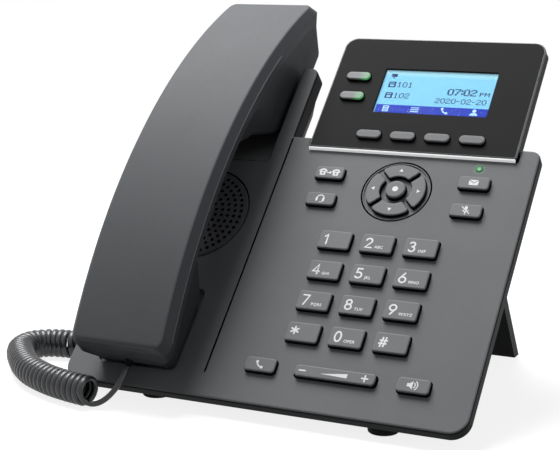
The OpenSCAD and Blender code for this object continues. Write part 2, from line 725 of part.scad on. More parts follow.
module key_mat() {
    color("#c9cac8") on_face() difference() {
        brick(mat_x[0], mat_x[1], mat_y[0], mat_y[1], board_top, mat_top);
        brick(volume_at[0] - 5, volume_at[0] + 5, mat_y[0] - OVER, volume_at[1] + 6,
            board_top - OVER, mat_top + OVER);
        for (p = screw_places) post(p, boss_r + OVER, board_top - OVER, mat_top + OVER);
    }
}

module main_board() {
    color("#1f6b3c") on_face() difference() {
        brick(board_x[0], board_x[1], board_y[0], board_y[1], jack_top, board_top);
        for (p = screw_places) post(p, boss_r + OVER, jack_top - OVER, board_top + OVER);
    }
}

module message_light() {
    color("#b9bbbd") on_face() {
        post(light_at, light_r, -plate_t - TOUCH, 0.4);
        post(light_at, light_r + lip, -plate_t - lip_t, -plate_t - TOUCH);
    }
}

module base_microphone() {
    color("#9a9c9f") on_face()
        post([volume_at[0], wall + 3.6], 2.8, -plate_t - TOUCH - 2.2, -plate_t - TOUCH);
}

// ---- Speaker ----

module speaker_grille() {
    rings = floor((grille_r - 3) / grille_pitch);
    color("#6c6e72") on_face() translate([cradle_x, grille_y, 0]) difference() {
        translate([0, 0, -grille_t]) cylinder(h = grille_t, r = grille_r - TOUCH, $fn = ROUND * 2);
        for (j = [0 : rings]) {
            holes = max(1, round(2 * PI * j));
            for (i = [0 : holes - 1]) rotate(i * 360 / holes)
                translate([j * grille_pitch, 0, -grille_t - OVER])
                    cylinder(h = grille_t + 2 * OVER, r = grille_hole_r, $fn = 6);
        }
    }
}

module loudspeaker() {
    color("#3a3b3d") on_face() translate([cradle_x, grille_y, -speaker_seat]) rotate_extrude($fn = ROUND)
        polygon([[0, -1], [speaker_r - 3, 0], [speaker_r, 0], [speaker_r, -1.4], [speaker_r - 2, -1.4],
            [magnet_r + 1, -6], [magnet_r, -6], [magnet_r, -speaker_d], [0, -speaker_d]]);
}

// ---- Sockets ----

// Socket block with its mouth towards the front edge
module mouth_block(x, w, h, hole) {
    z = jack_top - h / 2;
    difference() {
        brick(x - w / 2, x + w / 2, bay_y[1] + 0.2, bay_y[1] + 0.2 + jack_depth, jack_top - h, jack_top);
        brick(x - hole[0] / 2, x + hole[0] / 2, bay_y[1] - OVER, bay_y[1] + 0.2 + hole[2],
            z - hole[1] / 2, z + hole[1] / 2);
        brick(x - hole[0] / 4, x + hole[0] / 4, bay_y[1] - OVER, bay_y[1] + 0.2 + hole[2] / 2,
            z - hole[1] / 2 - 1.6, z);
    }
}

module network_jacks() {
    color("#303134") on_face() for (x = network_x) mouth_block(x, network_w, network_h, network_hole);
}

module power_jack() {
    z = jack_top - power_h / 2;
    color("#1d1d1f") on_face() difference() {
        brick(power_x - power_w / 2, power_x + power_w / 2, bay_y[1] + 0.2, bay_y[1] - 1.8 + jack_depth,
            jack_top - power_h, jack_top);
        translate([power_x, bay_y[1] - OVER, z]) rotate([-90, 0, 0]) difference() {
            cylinder(h = jack_depth - 4, r = power_hole_r, $fn = ROUND);
            cylinder(h = jack_depth, r = power_pin_r, $fn = ROUND);
        }
    }
}

module cord_jacks() {
    color("#303134") on_face() for (y = cord_port_y) difference() {
        brick(cord_jack_x, cord_jack_x + cord_jack[0], y - cord_jack[1] / 2, y + cord_jack[1] / 2,
            cord_port_z - cord_jack[2] / 2, cord_port_z + cord_jack[2] / 2);
        brick(cord_jack_x - OVER, cord_jack_x + cord_hole[0], y - cord_hole[1] / 2, y + cord_hole[1] / 2,
            cord_port_z - cord_hole[2] / 2, cord_port_z + cord_hole[2] / 2);
    }
}

// ---- Hook ----

module hook_switch() {
    lip_top = -(ear_pocket_d + pocket_wall + FIT + hook_travel);
    color("#2a2b2d") on_face() {
        post([cradle_x, hook_y], hook_r, lip_top - SLIVER, ear_z - FIT);
        post([cradle_x, hook_y], hook_lip_r, lip_top - hook_lip_t, lip_top);
    }
}

// ---- Handset ----

// Bar that follows the handset's long curve: section points are [radius, side]
module long_curve(section) {
    translate([cradle_x, back_y, back_z]) rotate([0, -90, 0]) rotate([0, 0, sweep_ends[0]])
        rotate_extrude(angle = sweep_ends[1] - sweep_ends[0], $fn = 180) polygon(section);
}

// Both sides of a section from the points of its right side
function both_sides(half) =
    concat(half, [for (i = [len(half) - 1 : -1 : 0]) [half[i][0], -half[i][1]]]);

// Plan outline of the handset, narrower by the given walls
module handset_plan(side_wall, end_wall) {
    half_w = handset_w / 2 + plan_margin - side_wall;
    block(cradle_x - half_w, cradle_x + half_w,
        handset_ends[0] + end_wall, handset_ends[1] - end_wall, -ear_pocket_d - OVER,
        handset_top + OVER, handset_end_r - side_wall);
}

// Space inside the handset's plan and side outlines
module handset_limits() {
    intersection() {
        across(cradle_x - handset_w, cradle_x + handset_w) polygon(handset_profile);
        handset_plan(0, 0);
    }
}

module handset_outer_shell() {
    half_flat = handset_flat_w / 2;
    half_w = handset_w / 2;
    t = handset_wall;
    color("#6f7175") on_face() difference() {
        intersection() {
            long_curve(both_sides([[split_r, half_w], [handset_r, half_flat]]));
            handset_limits();
        }
        intersection() {
            long_curve(both_sides([[split_r - OVER, half_w - t], [split_r, half_w - t],
                [handset_r - t, half_flat - t / 2]]));
            handset_plan(t, handset_end_wall);
        }
    }
}

module handset_inner_shell() {
    half_w = handset_w / 2;
    t = handset_wall;
    color("#26272a") on_face() difference() {
        intersection() {
            union() {
                long_curve(both_sides([[grip_r, grip_half_w], [edge_r, edge_half_w], [split_r, half_w]]));
                intersection() {
                    union() {
                        across(cradle_x - edge_half_w - 0.6, cradle_x + edge_half_w + 0.6)
                            polygon(ear_profile);
                        across(cradle_x - mouth_half_w, cradle_x + mouth_half_w) polygon(mouth_profile);
                    }
                    long_curve(both_sides([[split_r - handset_reach, half_w], [split_r, half_w]]));
                }
            }
            handset_limits();
        }
        intersection() {
            union() {
                long_curve(both_sides([[grip_r + t, grip_half_w - t], [edge_r + t, edge_half_w - t],
                    [split_r + OVER, half_w - t]]));
                across(cradle_x - ear_hollow_half_w, cradle_x + ear_hollow_half_w) polygon(ear_hollow);
                across(cradle_x - mouth_half_w + t, cradle_x + mouth_half_w - t) polygon(mouth_hollow);
            }
            handset_plan(t, handset_end_wall);
        }
        brick(cradle_x - handset_jack_size[0] / 2 - TOUCH, cradle_x + handset_jack_size[0] / 2 + TOUCH,
            jack_y - 5, jack_y + 4, jack_z - handset_jack_size[2] / 2 - TOUCH,
            jack_z + handset_jack_size[2] / 2 + TOUCH);
        for (a = [0 : 60 : 300])
            post([cradle_x + 6 * cos(a), receiver_y + 6 * sin(a)], 1, -ear_pocket_d, ear_z + t + OVER);
        post([cradle_x, mic_y], 1, mouth_z - OVER, mouth_z + t + OVER);
    }
}

module receiver() {
    z = ear_z + handset_wall + TOUCH;
    color("#5b5d60") on_face() post([cradle_x, receiver_y], receiver_r, z, z + receiver_t);
}

module handset_microphone() {
    z = mouth_z + handset_wall + TOUCH;
    color("#9a9c9f") on_face() post([cradle_x, mic_y], mic_r, z, z + mic_t);
}

module handset_weight() {
    z = back_z + grip_r + handset_wall + TOUCH;
    color("#8d9095") on_face() brick(cradle_x - weight[0] / 2, cradle_x + weight[0] / 2,
        back_y - weight[1] / 2, back_y + weight[1] / 2, z, z + weight[2]);
}

module handset_jack() {
    color("#303134") on_face() difference() {
        brick(cradle_x - handset_jack_size[0] / 2, cradle_x + handset_jack_size[0] / 2, jack_y,
            jack_y + handset_jack_size[1], jack_z - handset_jack_size[2] / 2,
            jack_z + handset_jack_size[2] / 2);
        brick(cradle_x - handset_jack_hole[0] / 2, cradle_x + handset_jack_hole[0] / 2, jack_y - OVER,
            jack_y + handset_jack_hole[1], jack_z - handset_jack_hole[2] / 2,
            jack_z + handset_jack_hole[2] / 2);
    }
}

// ---- Stand ----

// The stand is drawn hanging from its hinge: y through its thickness, z up its length
module stand() {
    half = stand_w / 2;
    color("#1d1e20") difference() {
        translate([0, hinge_back - centre_y, hinge_up]) rotate([stand_lean, 0, 0]) {
            translate([-half - ear_gap - ear_t, 0, 0]) rotate([0, 90, 0])
                cylinder(h = stand_w + 2 * (ear_gap + ear_t), r = hinge_pin_r, $fn = ROUND);
            translate([-half, 0, 0]) rotate([0, 90, 0])
                cylinder(h = stand_w, r = hinge_barrel_r, $fn = ROUND);
            brick(-half, half, -stand_t / 2, stand_skin - stand_t / 2, -stand_len - stand_t, 0);
            for (x = [-half, -half / 3 - stand_rib / 2, half / 3 - stand_rib / 2, half - stand_rib])
                brick(x, x + stand_rib, -stand_t / 2, stand_t / 2, -stand_len - stand_t, 0);
            brick(-half, half, -stand_t / 2, stand_t / 2, -stand_len - stand_t, foot_bar - stand_len);
        }
        brick(-face_w, face_w, -face_w, face_w, -face_w, 0);
    }
}

// ---- Cord ----

// A route shifted from the face's front edge to the model's middle
function placed(route) = [for (p = route) [p[0], p[1] - centre_y, p[2]]];

module cord_coil() {
    color("#17181a") tube(placed(coil_route), coil_r, 12);
}

module cord_base_tail() {
    color("#17181a") tube(placed(base_tail_route), cord_r, 8);
}

module cord_handset_tail() {
    color("#17181a") tube(placed(handset_tail_route), cord_r, 8);
}

module handset_plug() {
    color("#d8dadb") on_face() brick(cradle_x - plug[0] / 2, cradle_x + plug[0] / 2,
        jack_y - plug_out, jack_y - plug_out + plug[1], jack_z - plug[2] / 2, jack_z + plug[2] / 2);
}

module base_plug() {
    color("#d8dadb") on_face() brick(cord_jack_x - plug_out, cord_jack_x - plug_out + plug[1],
        cord_port_y[0] - plug[0] / 2, cord_port_y[0] + plug[0] / 2,
        cord_port_z - plug[2] / 2, cord_port_z + plug[2] / 2);
}

lower_housing();
upper_housing();
display_frame();
display_window();
lcd_module();
display_board();
main_board();
key_mat();
loudspeaker();
speaker_grille();
base_microphone();
message_light();
handset_outer_shell();
handset_inner_shell();
receiver();
handset_microphone();
handset_weight();
handset_jack();
hook_switch();
network_jacks();
power_jack();
cord_jacks();
stand();
rubber_feet();
housing_screws();
cord_base_tail();
cord_coil();
cord_handset_tail();
handset_plug();
base_plug();
ok_key();
volume_rocker();
for (i = [0 : len(DIAL) - 1])
    dial_key(i);
for (i = [0 : len(ARROWS) - 1])
    arrow_key(i);
for (i = [1 : SOFT_KEYS])
    soft_key(i - 1);
for (i = [1 : LINE_KEYS])
    line_key(i - 1);
function_key(transfer_at);  // transfer_key
function_key(headset_at);  // headset_key
function_key(message_at);  // message_key
function_key(mute_at);  // mute_key
function_key(redial_at);  // redial_key
function_key(speaker_at);  // speaker_key
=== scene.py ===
import math

import bmesh
import bpy
from bpy.props import FloatProperty, FloatVectorProperty, PointerProperty
from mathutils import Matrix, Vector, geometry


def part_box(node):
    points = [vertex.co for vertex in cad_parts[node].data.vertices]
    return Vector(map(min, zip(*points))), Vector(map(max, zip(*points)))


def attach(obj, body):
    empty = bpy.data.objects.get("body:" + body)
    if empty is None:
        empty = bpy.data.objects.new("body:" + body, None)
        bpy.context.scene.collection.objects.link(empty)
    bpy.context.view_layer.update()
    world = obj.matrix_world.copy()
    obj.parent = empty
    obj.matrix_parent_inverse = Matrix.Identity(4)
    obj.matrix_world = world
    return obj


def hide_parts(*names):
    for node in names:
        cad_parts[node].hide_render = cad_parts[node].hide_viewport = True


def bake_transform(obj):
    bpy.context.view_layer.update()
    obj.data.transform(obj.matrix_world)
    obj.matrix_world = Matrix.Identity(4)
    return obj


bl_info = {
    "name": "Desk Phone",
    "version": (1, 0, 0),
    "blender": (4, 5, 0),
    "location": "View3D > Sidebar > Desk Phone",
    "description": "Builds the shells, keys, screen, handset and cord of a desk phone",
    "category": "Add Mesh",
}

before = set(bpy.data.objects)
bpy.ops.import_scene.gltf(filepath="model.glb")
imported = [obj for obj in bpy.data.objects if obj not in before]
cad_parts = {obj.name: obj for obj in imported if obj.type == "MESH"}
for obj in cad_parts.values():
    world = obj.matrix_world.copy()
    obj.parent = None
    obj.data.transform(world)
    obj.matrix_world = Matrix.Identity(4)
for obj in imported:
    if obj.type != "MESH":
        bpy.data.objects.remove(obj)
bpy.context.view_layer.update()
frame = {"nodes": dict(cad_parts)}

# The keypad face slopes at 45 degrees. Pieces on it are drawn in millimetres:
# x across, v up the slope from the front edge, z out of the face.
SLOPE = math.radians(45)
TILT = math.sin(SLOPE)
SKIRT = 5.0
FRONT_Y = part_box("upper_housing")[0].y
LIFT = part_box("upper_housing")[0].z + SKIRT * TILT / 1000
FACE = (Matrix.Translation((0, FRONT_Y, LIFT)) @ Matrix.Rotation(SLOPE, 4, "X") @ Matrix.Scale(0.001, 4))
TABLE = Matrix.Translation((0, FRONT_Y, 0)) @ Matrix.Scale(0.001, 4)

LEFT, RIGHT, TOP = -91.2, 91.2, 137.0
SEAM, CRADLE = -25.4, -58.3
HORN_TOP = 178.0
HEAD = (-15.4, 81.6, 130.5, 196.0)
SCREEN = (9.4, 63.0, 152.25, 177.55)
SCREEN_FOOT = Matrix.Rotation(-SLOPE, 4, "X") @ FACE @ Vector((SCREEN[0], SCREEN[2], 0))
NAV = (32.3, 110.4)
GRILLE = (CRADLE, 90.3, 25.0)
DIAL_X = (12.7, 32.2, 51.7)
DIAL_Y = (81.6, 66.1, 50.6, 35.1)
DIAL = ("1", "2", "3", "4", "5", "6", "7", "8", "9", "star", "0", "hash")
FUNCTION = {"transfer_key": (-0.6, 116.7), "headset_key": (-0.6, 102.3), "redial_key": (-0.9, 17.8),
            "message_key": (66.2, 116.7), "mute_key": (66.2, 102.2), "speaker_key": (65.9, 17.6)}
VOLUME = (32.3, 17.6)
LAMP = (66.2, 125.3)
SOFT = [(12 + 16.07 * i, 138.5) for i in range(4)]
LINE = [(-2.7, 171.8), (-2.7, 160.1)]
ARROWS = ("right", "up", "left", "down")
DIAL_SIZE, FUNCTION_SIZE, SOFT_SIZE = (14.55, 9.0), (13.6, 6.4), (11.7, 4.4)
VOLUME_SIZE, VOLUME_WINDOW = (35.0, 5.2), (35.7, 5.2)


def rounding(name, words, default, least, most):
    return FloatProperty(name=name, description=words, default=default, min=least, max=most)


def length(name, words, default):
    return FloatProperty(name=name, description=words, default=default, unit="LENGTH")


def shade(name, words, default):
    return FloatVectorProperty(name=name, description=words, default=default, subtype="COLOR", min=0, max=1)


class PhoneSizes(bpy.types.PropertyGroup):
    face_edge: rounding("Face edge", "Rounding of the keypad face's rim, in millimetres", 1.1, 0.2, 2.0)
    key_edge: rounding("Key edge", "Rounding of the key tops, in millimetres", 0.45, 0.1, 0.8)
    frame_edge: rounding("Screen frame edge", "Rounding of the screen frame, in millimetres", 0.7, 0.2, 1.5)
    cord_width: length("Cord width", "Diameter of the handset cord", 0.0024)
    coil_width: length("Coil width", "Outer diameter of the cord's curls", 0.0134)
    curl_step: length("Curl step", "Distance from one curl of the cord to the next", 0.0030)


class PhoneColours(bpy.types.PropertyGroup):
    face: shade("Face", "Grey of the keypad face", (0.178, 0.182, 0.188))
    handset: shade("Handset", "Grey of the handset's back", (0.120, 0.124, 0.131))
    key: shade("Keys", "Grey of the key tops", (0.195, 0.198, 0.204))
    frame: shade("Screen frame", "Charcoal of the screen frame", (0.020, 0.020, 0.021))
    dark: shade("Dark plastic", "Near black of the lower shell and the stand", (0.010, 0.011, 0.012))
    ink: shade("Ink", "White of the printed marks", (0.86, 0.87, 0.88))
    screen: shade("Screen", "Light blue of the lit screen", (0.20, 0.56, 0.82))
    bar: shade("Screen bar", "Blue of the bar along the screen's foot", (0.006, 0.035, 0.46))


def colours():
    return bpy.context.scene.phone_colours


def sizes():
    return bpy.context.scene.phone_sizes


# ---- Drawing ----

def arc(cx, cy, r, start, end, steps, ry=None):
    ry = r if ry is None else ry
    return [(cx + r * math.cos(math.radians(start + (end - start) * i / steps)),
             cy + ry * math.sin(math.radians(start + (end - start) * i / steps))) for i in range(steps + 1)]


def circle(cx, cy, r, sides=48):
    return arc(cx, cy, r, 0, 360, sides)[:-1]


def round_rect(x0, x1, y0, y1, r, steps=6):
    return (arc(x1 - r, y0 + r, r, -90, 0, steps) + arc(x1 - r, y1 - r, r, 0, 90, steps)
            + arc(x0 + r, y1 - r, r, 90, 180, steps) + arc(x0 + r, y0 + r, r, 180, 270, steps))


def box(x0, x1, y0, y1):
    return [(x0, y0), (x1, y0), (x1, y1), (x0, y1)]


def grown(rect, by):
    return rect[0] - by, rect[1] + by, rect[2] - by, rect[3] + by


def around(at, size, r, grow=0.0):
    w, l = size[0] / 2 + grow, size[1] / 2 + grow
    return round_rect(at[0] - w, at[0] + w, at[1] - l, at[1] + l, min(r + grow, l - 0.01, w - 0.01))


def rounded(points, radii, steps=6, closed=True, even=False):
    """Rounds the corners of a line, each with its own radius. Even gives a straight corner as many points too."""
    out, n = [], len(points)
    for i, (p, r) in enumerate(zip(points, radii)):
        b = Vector(p)
        if r <= 0 or (not closed and i in (0, n - 1)):
            out.append(tuple(b))
            continue
        u, w = Vector(points[i - 1]) - b, Vector(points[(i + 1) % n]) - b
        angle = u.angle(w, math.pi)
        if angle > math.radians(178) or min(u.length, w.length) < 1e-6:
            out += [tuple(b)] * (steps + 1 if even else 1)
            continue
        t = min(r / math.tan(angle / 2), 0.49 * u.length, 0.49 * w.length)
        u, w = u.normalized(), w.normalized()
        radius = t * math.tan(angle / 2)
        centre = b + (u + w).normalized() * math.hypot(t, radius)
        first, last = b + u * t - centre, b + w * t - centre
        turn = first.angle(last)
        for k in range(steps + 1):
            s = k / steps
            spoke = (first * math.sin((1 - s) * turn) + last * math.sin(s * turn)) / math.sin(turn)
            out.append(tuple(centre + spoke))
    return out


def inset(loop, by):
    """The loop moved inwards, or outwards if by is negative. Loops run anticlockwise."""
    out, n = [], len(loop)
    for i in range(n):
        a, b, c = Vector(loop[i - 1]), Vector(loop[i]), Vector(loop[(i + 1) % n])
        e, f = (b - a).normalized(), (c - b).normalized()
        p, q = Vector((-e.y, e.x)), Vector((-f.y, f.x))
        m = (p + q) / max(1 + p.dot(q), 0.3)
        out.append((b.x + m.x * by, b.y + m.y * by))
    return out


def between(table, v):
    """Value read off a table of (place, value) pairs."""
    if v <= table[0][0]:
        return table[0][1]
    for (a, p), (b, q) in zip(table, table[1:]):
        if v <= b:
            return p + (q - p) * (v - a) / (b - a)
    return table[-1][1]


def at_height(loop, z):
    return [(x, y, z(x, y) if callable(z) else z) for x, y in loop]


class Form:
    """Points and faces of a piece in the making. Its strokes and patches start from a place, at a level."""

    def __init__(self, level=0.0, start=(0.0, 0.0)):
        self.points, self.faces, self.finishes, self.strokes = [], [], [], 0
        self.level, self.start = level, Vector(start)

    def ring(self, points):
        first = len(self.points)
        self.points += [tuple(p) for p in points]
        return list(range(first, len(self.points)))

    def face(self, ids, finish=0):
        self.faces.append(tuple(ids))
        self.finishes.append(finish)

    def skin(self, a, b, finish=0, closed=True):
        n = len(a)
        for i in range(n if closed else n - 1):
            j = (i + 1) % n
            self.face((a[i], a[j], b[j], b[i]), finish)

    def stack(self, rings, finish=0):
        """Skin through the rings, with a face at both ends."""
        for a, b in zip(rings, rings[1:]):
            self.skin(a, b, finish)
        self.face(rings[0], finish)
        self.face(rings[-1], finish)

    def sheet(self, loops, z, finish=0):
        """Flat face between an outline and the loops that are cut out of it."""
        ids = [i for loop in loops for i in self.ring(at_height(loop, z))]
        flat = [[Vector((x, y, 0)) for x, y in loop] for loop in loops]
        for a, b, c in geometry.tessellate_polygon(flat):
            self.face((ids[a], ids[b], ids[c]), finish)
        out, first = [], 0
        for loop in loops:
            out.append(ids[first:first + len(loop)])
            first += len(loop)
        return out

    def rim(self, top, loop, z, r, low, side=1, finish=0, wall=None, steps=4, dark_from=None):
        """Rounded rim from a flat face's edge down a wall. Side is 1 for an outline, -1 for a hole.

        From the step dark_from on, the rim has the wall's finish.
        """
        last = top
        for k in range(1, steps + 1):
            a = math.pi / 2 * k / steps
            ring = self.ring(at_height(inset(loop, side * r * (1 - math.sin(a))), z - r * (1 - math.cos(a))))
            self.skin(last, ring, wall if dark_from and k >= dark_from else finish)
            last = ring
        bottom = self.ring(at_height(loop, low))
        self.skin(last, bottom, finish if wall is None else wall)
        return bottom

    def lathe(self, at, profile, sides=64, finish=0):
        rings = [self.ring([(x, y, z) for x, y in circle(at[0], at[1], r, sides)]) for r, z in profile]
        for a, b in zip(rings, rings[1:]):
            self.skin(a, b, finish)
        return rings

    def cap(self, loop, low, top, r, crown=0.0, finish=0, wall=None, band=0.35, steps=4, field=0.5):
        """Block with a rounded rim and a slightly crowned top."""
        wall = finish if wall is None else wall
        rings = [self.ring(at_height(loop, low)), self.ring(at_height(loop, top - r - band))]
        self.skin(rings[0], rings[1], wall)
        last = self.ring(at_height(loop, top - r))
        self.skin(rings[1], last, finish)
        for k in range(1, steps + 1):
            a = math.pi / 2 * k / steps
            ring = self.ring(at_height(inset(loop, r * (1 - math.cos(a))), top - r * (1 - math.sin(a))))
            self.skin(last, ring, finish)
            last = ring
        inner = self.ring(at_height(inset(loop, r + field), top + crown))
        self.skin(last, inner, finish)
        self.face(inner, finish)
        return rings[0]

    def stroke(self, points, width, finish=0, up=0.0):
        """Ribbon along a line, with round ends unless the line is closed. Each lies a hair above the last."""
        self.strokes += 1
        z = self.level + up + 0.003 * self.strokes
        pts = [Vector(p) + self.start for p in points]
        closed = (pts[0] - pts[-1]).length < 1e-6
        if closed:
            pts.pop()
        n, left, right = len(pts), [], []
        for i, p in enumerate(pts):
            back = (p - pts[i - 1]).normalized() if closed or i else (pts[1] - p).normalized()
            on = (pts[(i + 1) % n] - p).normalized() if closed or i < n - 1 else back
            d = (back + on).normalized()
            side = Vector((-d.y, d.x)) * width / 2 * min(1 / max(d.dot(on), 0.1), 1.5)
            left.append((*(p + side), z))
            right.append((*(p - side), z))
        a, b = self.ring(left), self.ring(right)
        self.skin(a, b, finish, closed)
        if closed:
            return
        for p, q, first, last in ((pts[0], pts[1], a[0], b[0]), (pts[-1], pts[-2], b[-1], a[-1])):
            turn = math.degrees(math.atan2(*reversed(p - q)))
            round_end = arc(p.x, p.y, width / 2, turn - 90, turn + 90, 8)[1:-1]
            self.face([first] + self.ring(at_height(round_end, z)) + [last], finish)

    def patch(self, loop, finish=0, up=0.0):
        placed = [(x + self.start.x, y + self.start.y) for x, y in loop]
        self.face(self.ring(at_height(placed, self.level + up)), finish)


def make_piece(name, form, finishes, body, replaces=(), place=FACE, sharp=32, smooth=True, flat=False):
    mesh = bpy.data.meshes.new(name)
    mesh.from_pydata(form.points, [], form.faces)
    mesh.transform(place)
    for f in finishes:
        mesh.materials.append(finish(f))
    mesh.polygons.foreach_set("material_index", form.finishes)
    work = bmesh.new()
    work.from_mesh(mesh)
    bmesh.ops.remove_doubles(work, verts=work.verts, dist=1e-6)
    bmesh.ops.dissolve_degenerate(work, dist=1e-7, edges=work.edges)
    if not flat:
        bmesh.ops.recalc_face_normals(work, faces=work.faces)
    work.to_mesh(mesh)
    work.free()
    if flat:
        mesh.shade_flat()
    else:
        mesh.shade_smooth()
        mesh.set_sharp_from_angle(angle=math.radians(sharp))
    piece = bpy.data.objects.new(name, mesh)
    bpy.context.scene.collection.objects.link(piece)
    if smooth and not flat:
        even = piece.modifiers.new("even shading", "WEIGHTED_NORMAL")
        even.keep_sharp = True
        even.weight = 80
    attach(piece, body)
    if replaces:
        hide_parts(*replaces)
    return piece


# ---- Finishes ----

BLACK = (0.0, 0.0, 0.0)


def feed(node, *sources, **values):
    """Fills a node's inputs by their order or name. A socket is linked, and anything else is set."""
    for key, value in (*enumerate(sources), *values.items()):
        socket = node.inputs[key.replace("_", " ") if isinstance(key, str) else key]
        if isinstance(value, bpy.types.NodeSocket):
            node.id_data.links.new(value, socket)
        else:
            socket.default_value = value


def add(tree, kind, *sources, out=0, **values):
    """A new node with its settings and inputs. Gives the output asked for, or an end node itself."""
    node = tree.nodes.new("ShaderNode" + kind)
    for key in [k for k in values if hasattr(node, k)]:
        setattr(node, key, values.pop(key))
    feed(node, *sources, **values)
    return node.outputs[out] if node.outputs else node


def math_node(tree, operation, *sources):
    return add(tree, "Math", *sources, operation=operation)


def object_place(tree):
    return add(tree, "TexCoord", out="Object")


def distance(tree, centre):
    return add(tree, "VectorMath", object_place(tree), centre, operation="DISTANCE", out="Value")


def remap(tree, value, low, high, **values):
    return add(tree, "MapRange", value, From_Min=low, From_Max=high, **values)


def mix_colours(tree, factor, a, b):
    """Colour between two, each given as a plain colour or as the socket that makes it."""
    node = add(tree, "Mix", data_type="RGBA", Factor=factor).node
    for socket, value in zip([i for i in node.inputs if i.type == "RGBA"], (a, b)):
        if isinstance(value, bpy.types.NodeSocket):
            tree.links.new(value, socket)
        else:
            socket.default_value = (*value, 1)
    return next(o for o in node.outputs if o.type == "RGBA")


def new_group(name, inputs, outputs):
    """An empty node group. A socket named Colour holds a colour, and any other a number."""
    tree = bpy.data.node_groups.new(name, "ShaderNodeTree")
    for side, labels in (("INPUT", inputs), ("OUTPUT", outputs)):
        for label in labels:
            kind = "NodeSocketColor" if label == "Colour" else "NodeSocketFloat"
            socket = tree.interface.new_socket(label, in_out=side, socket_type=kind)
            if side == "INPUT":
                socket.default_value = inputs[label]
    return tree, tree.nodes.new("NodeGroupInput").outputs, tree.nodes.new("NodeGroupOutput")


def moulded_grain(name):
    """Fine texture of moulded plastic: even grain, faint clouds in the colour and the gloss."""
    tree, given, done = new_group(
        name, {"Colour": (0.5, 0.5, 0.5, 1), "Clouding": 0.06, "Grain": 2200.0, "Roughness": 0.5,
               "Roughness Spread": 0.1}, ("Colour", "Roughness", "Height"))
    place = object_place(tree)
    grain = add(tree, "TexNoise", place, Scale=given["Grain"], Detail=2.0, Roughness=0.6)
    clouds = add(tree, "TexNoise", place, Scale=38.0, Detail=3.0, Roughness=0.55)
    low = math_node(tree, "MULTIPLY_ADD", given["Clouding"], -1.0, 1.0)
    high = math_node(tree, "ADD", given["Clouding"], 1.0)
    shade_by = remap(tree, clouds, 0.25, 0.75, To_Min=low, To_Max=high)
    tone = add(tree, "VectorMath", given["Colour"], Scale=shade_by, operation="SCALE")
    less, more = [math_node(tree, way, given["Roughness"], given["Roughness Spread"])
                  for way in ("SUBTRACT", "ADD")]
    feed(done, Colour=tone, Roughness=remap(tree, grain, 0.3, 0.7, To_Min=less, To_Max=more), Height=grain)
    return tree


def settled_dust(name):
    """Thin dust on what faces up: a mask, and the colour with the dust on it."""
    tree, given, done = new_group(name, {"Colour": (0.1, 0.1, 0.1, 1), "Amount": 0.05}, ("Colour", "Mask"))
    up = add(tree, "SeparateXYZ", add(tree, "NewGeometry", out="Normal"), out="Z")
    specks = add(tree, "TexNoise", object_place(tree), Scale=420.0, Detail=4.0)
    both = math_node(tree, "MULTIPLY", remap(tree, up, 0.2, 1.0), remap(tree, specks, 0.45, 0.75))
    mask = math_node(tree, "MULTIPLY", both, given["Amount"])
    feed(done, Colour=mix_colours(tree, mask, given["Colour"], (0.55, 0.54, 0.52)), Mask=mask)
    return tree


def screen_dots(name):
    """Mask of the fine dark lines between a screen's dots, and the height above the screen's foot."""
    tree, given, done = new_group(name, {"Pitch": 0.0004}, ("Lines", "Up"))
    turned = add(tree, "VectorRotate", object_place(tree), rotation_type="X_AXIS", Angle=-SLOPE)
    parts = add(tree, "SeparateXYZ", turned).node.outputs
    lines = []
    for axis in "XY":
        part = math_node(tree, "FRACT", math_node(tree, "DIVIDE", parts[axis], given["Pitch"]))
        lines.append(remap(tree, part, 0.0, 0.18, To_Min=1.0, To_Max=0.0))
    feed(done, Lines=math_node(tree, "MAXIMUM", *lines),
         Up=math_node(tree, "SUBTRACT", parts["Y"], SCREEN_FOOT.y))
    return tree


def use_group(tree, build, **values):
    """Outputs of a shared node group placed in a tree. It is built the first time that it is used."""
    name = build.__name__.replace("_", " ")
    node = tree.nodes.new("ShaderNodeGroup")
    node.node_tree = bpy.data.node_groups.get(name) or build(name)
    feed(node, **values)
    return node.outputs


def start_material(name, **values):
    material = bpy.data.materials.new(name)
    material.use_nodes = True
    shader = material.node_tree.nodes["Principled BSDF"]
    feed(shader, **values)
    return material.node_tree, shader


def grained(tree, shader, colour, **values):
    """Gives a shader the colour and gloss of moulded plastic, and returns the outputs of its grain."""
    grain = use_group(tree, moulded_grain, Colour=(*colour, 1), **values)
    feed(shader, Base_Color=grain["Colour"], Roughness=grain["Roughness"])
    return grain


def moulded(name, colour, roughness, bump=0.12, specular=0.5, fineness=2200.0, dust=0.0, clouding=0.05):
    tree, shader = start_material(name, Specular_IOR_Level=specular)
    grain = grained(tree, shader, colour, Clouding=clouding, Grain=fineness, Roughness=roughness,
                    Roughness_Spread=0.06)
    if dust:
        feed(shader, Base_Color=use_group(tree, settled_dust, Colour=grain["Colour"], Amount=dust)["Colour"])
    feed(shader, Normal=add(tree, "Bump", Height=grain["Height"], Strength=bump, Distance=0.0002))
    return tree, shader


def lit(name, colour, strength, dark=0.0, rise=None):
    """Glowing finish with the lines of a dot screen, and perhaps a paler top between two heights."""
    tree, shader = start_material(name, Emission_Strength=strength, Roughness=0.6, Specular_IOR_Level=0.0)
    dots = use_group(tree, screen_dots)
    main = colour
    if rise:
        low, high, top = rise
        main = mix_colours(tree, remap(tree, dots["Up"], low, high), colour, top)
    shown = mix_colours(tree, dots["Lines"], main, [c * (1 - dark) for c in colour])
    feed(shader, Emission_Color=shown, Base_Color=shown)


def bright_trim(name):
    """White strip that glows a little: a painted highlight along the foot of the screen head."""
    shader = moulded(name, (0.90, 0.91, 0.92), 0.3, clouding=0.02)[1]
    feed(shader, Emission_Color=(1, 1, 1, 1), Emission_Strength=0.42)


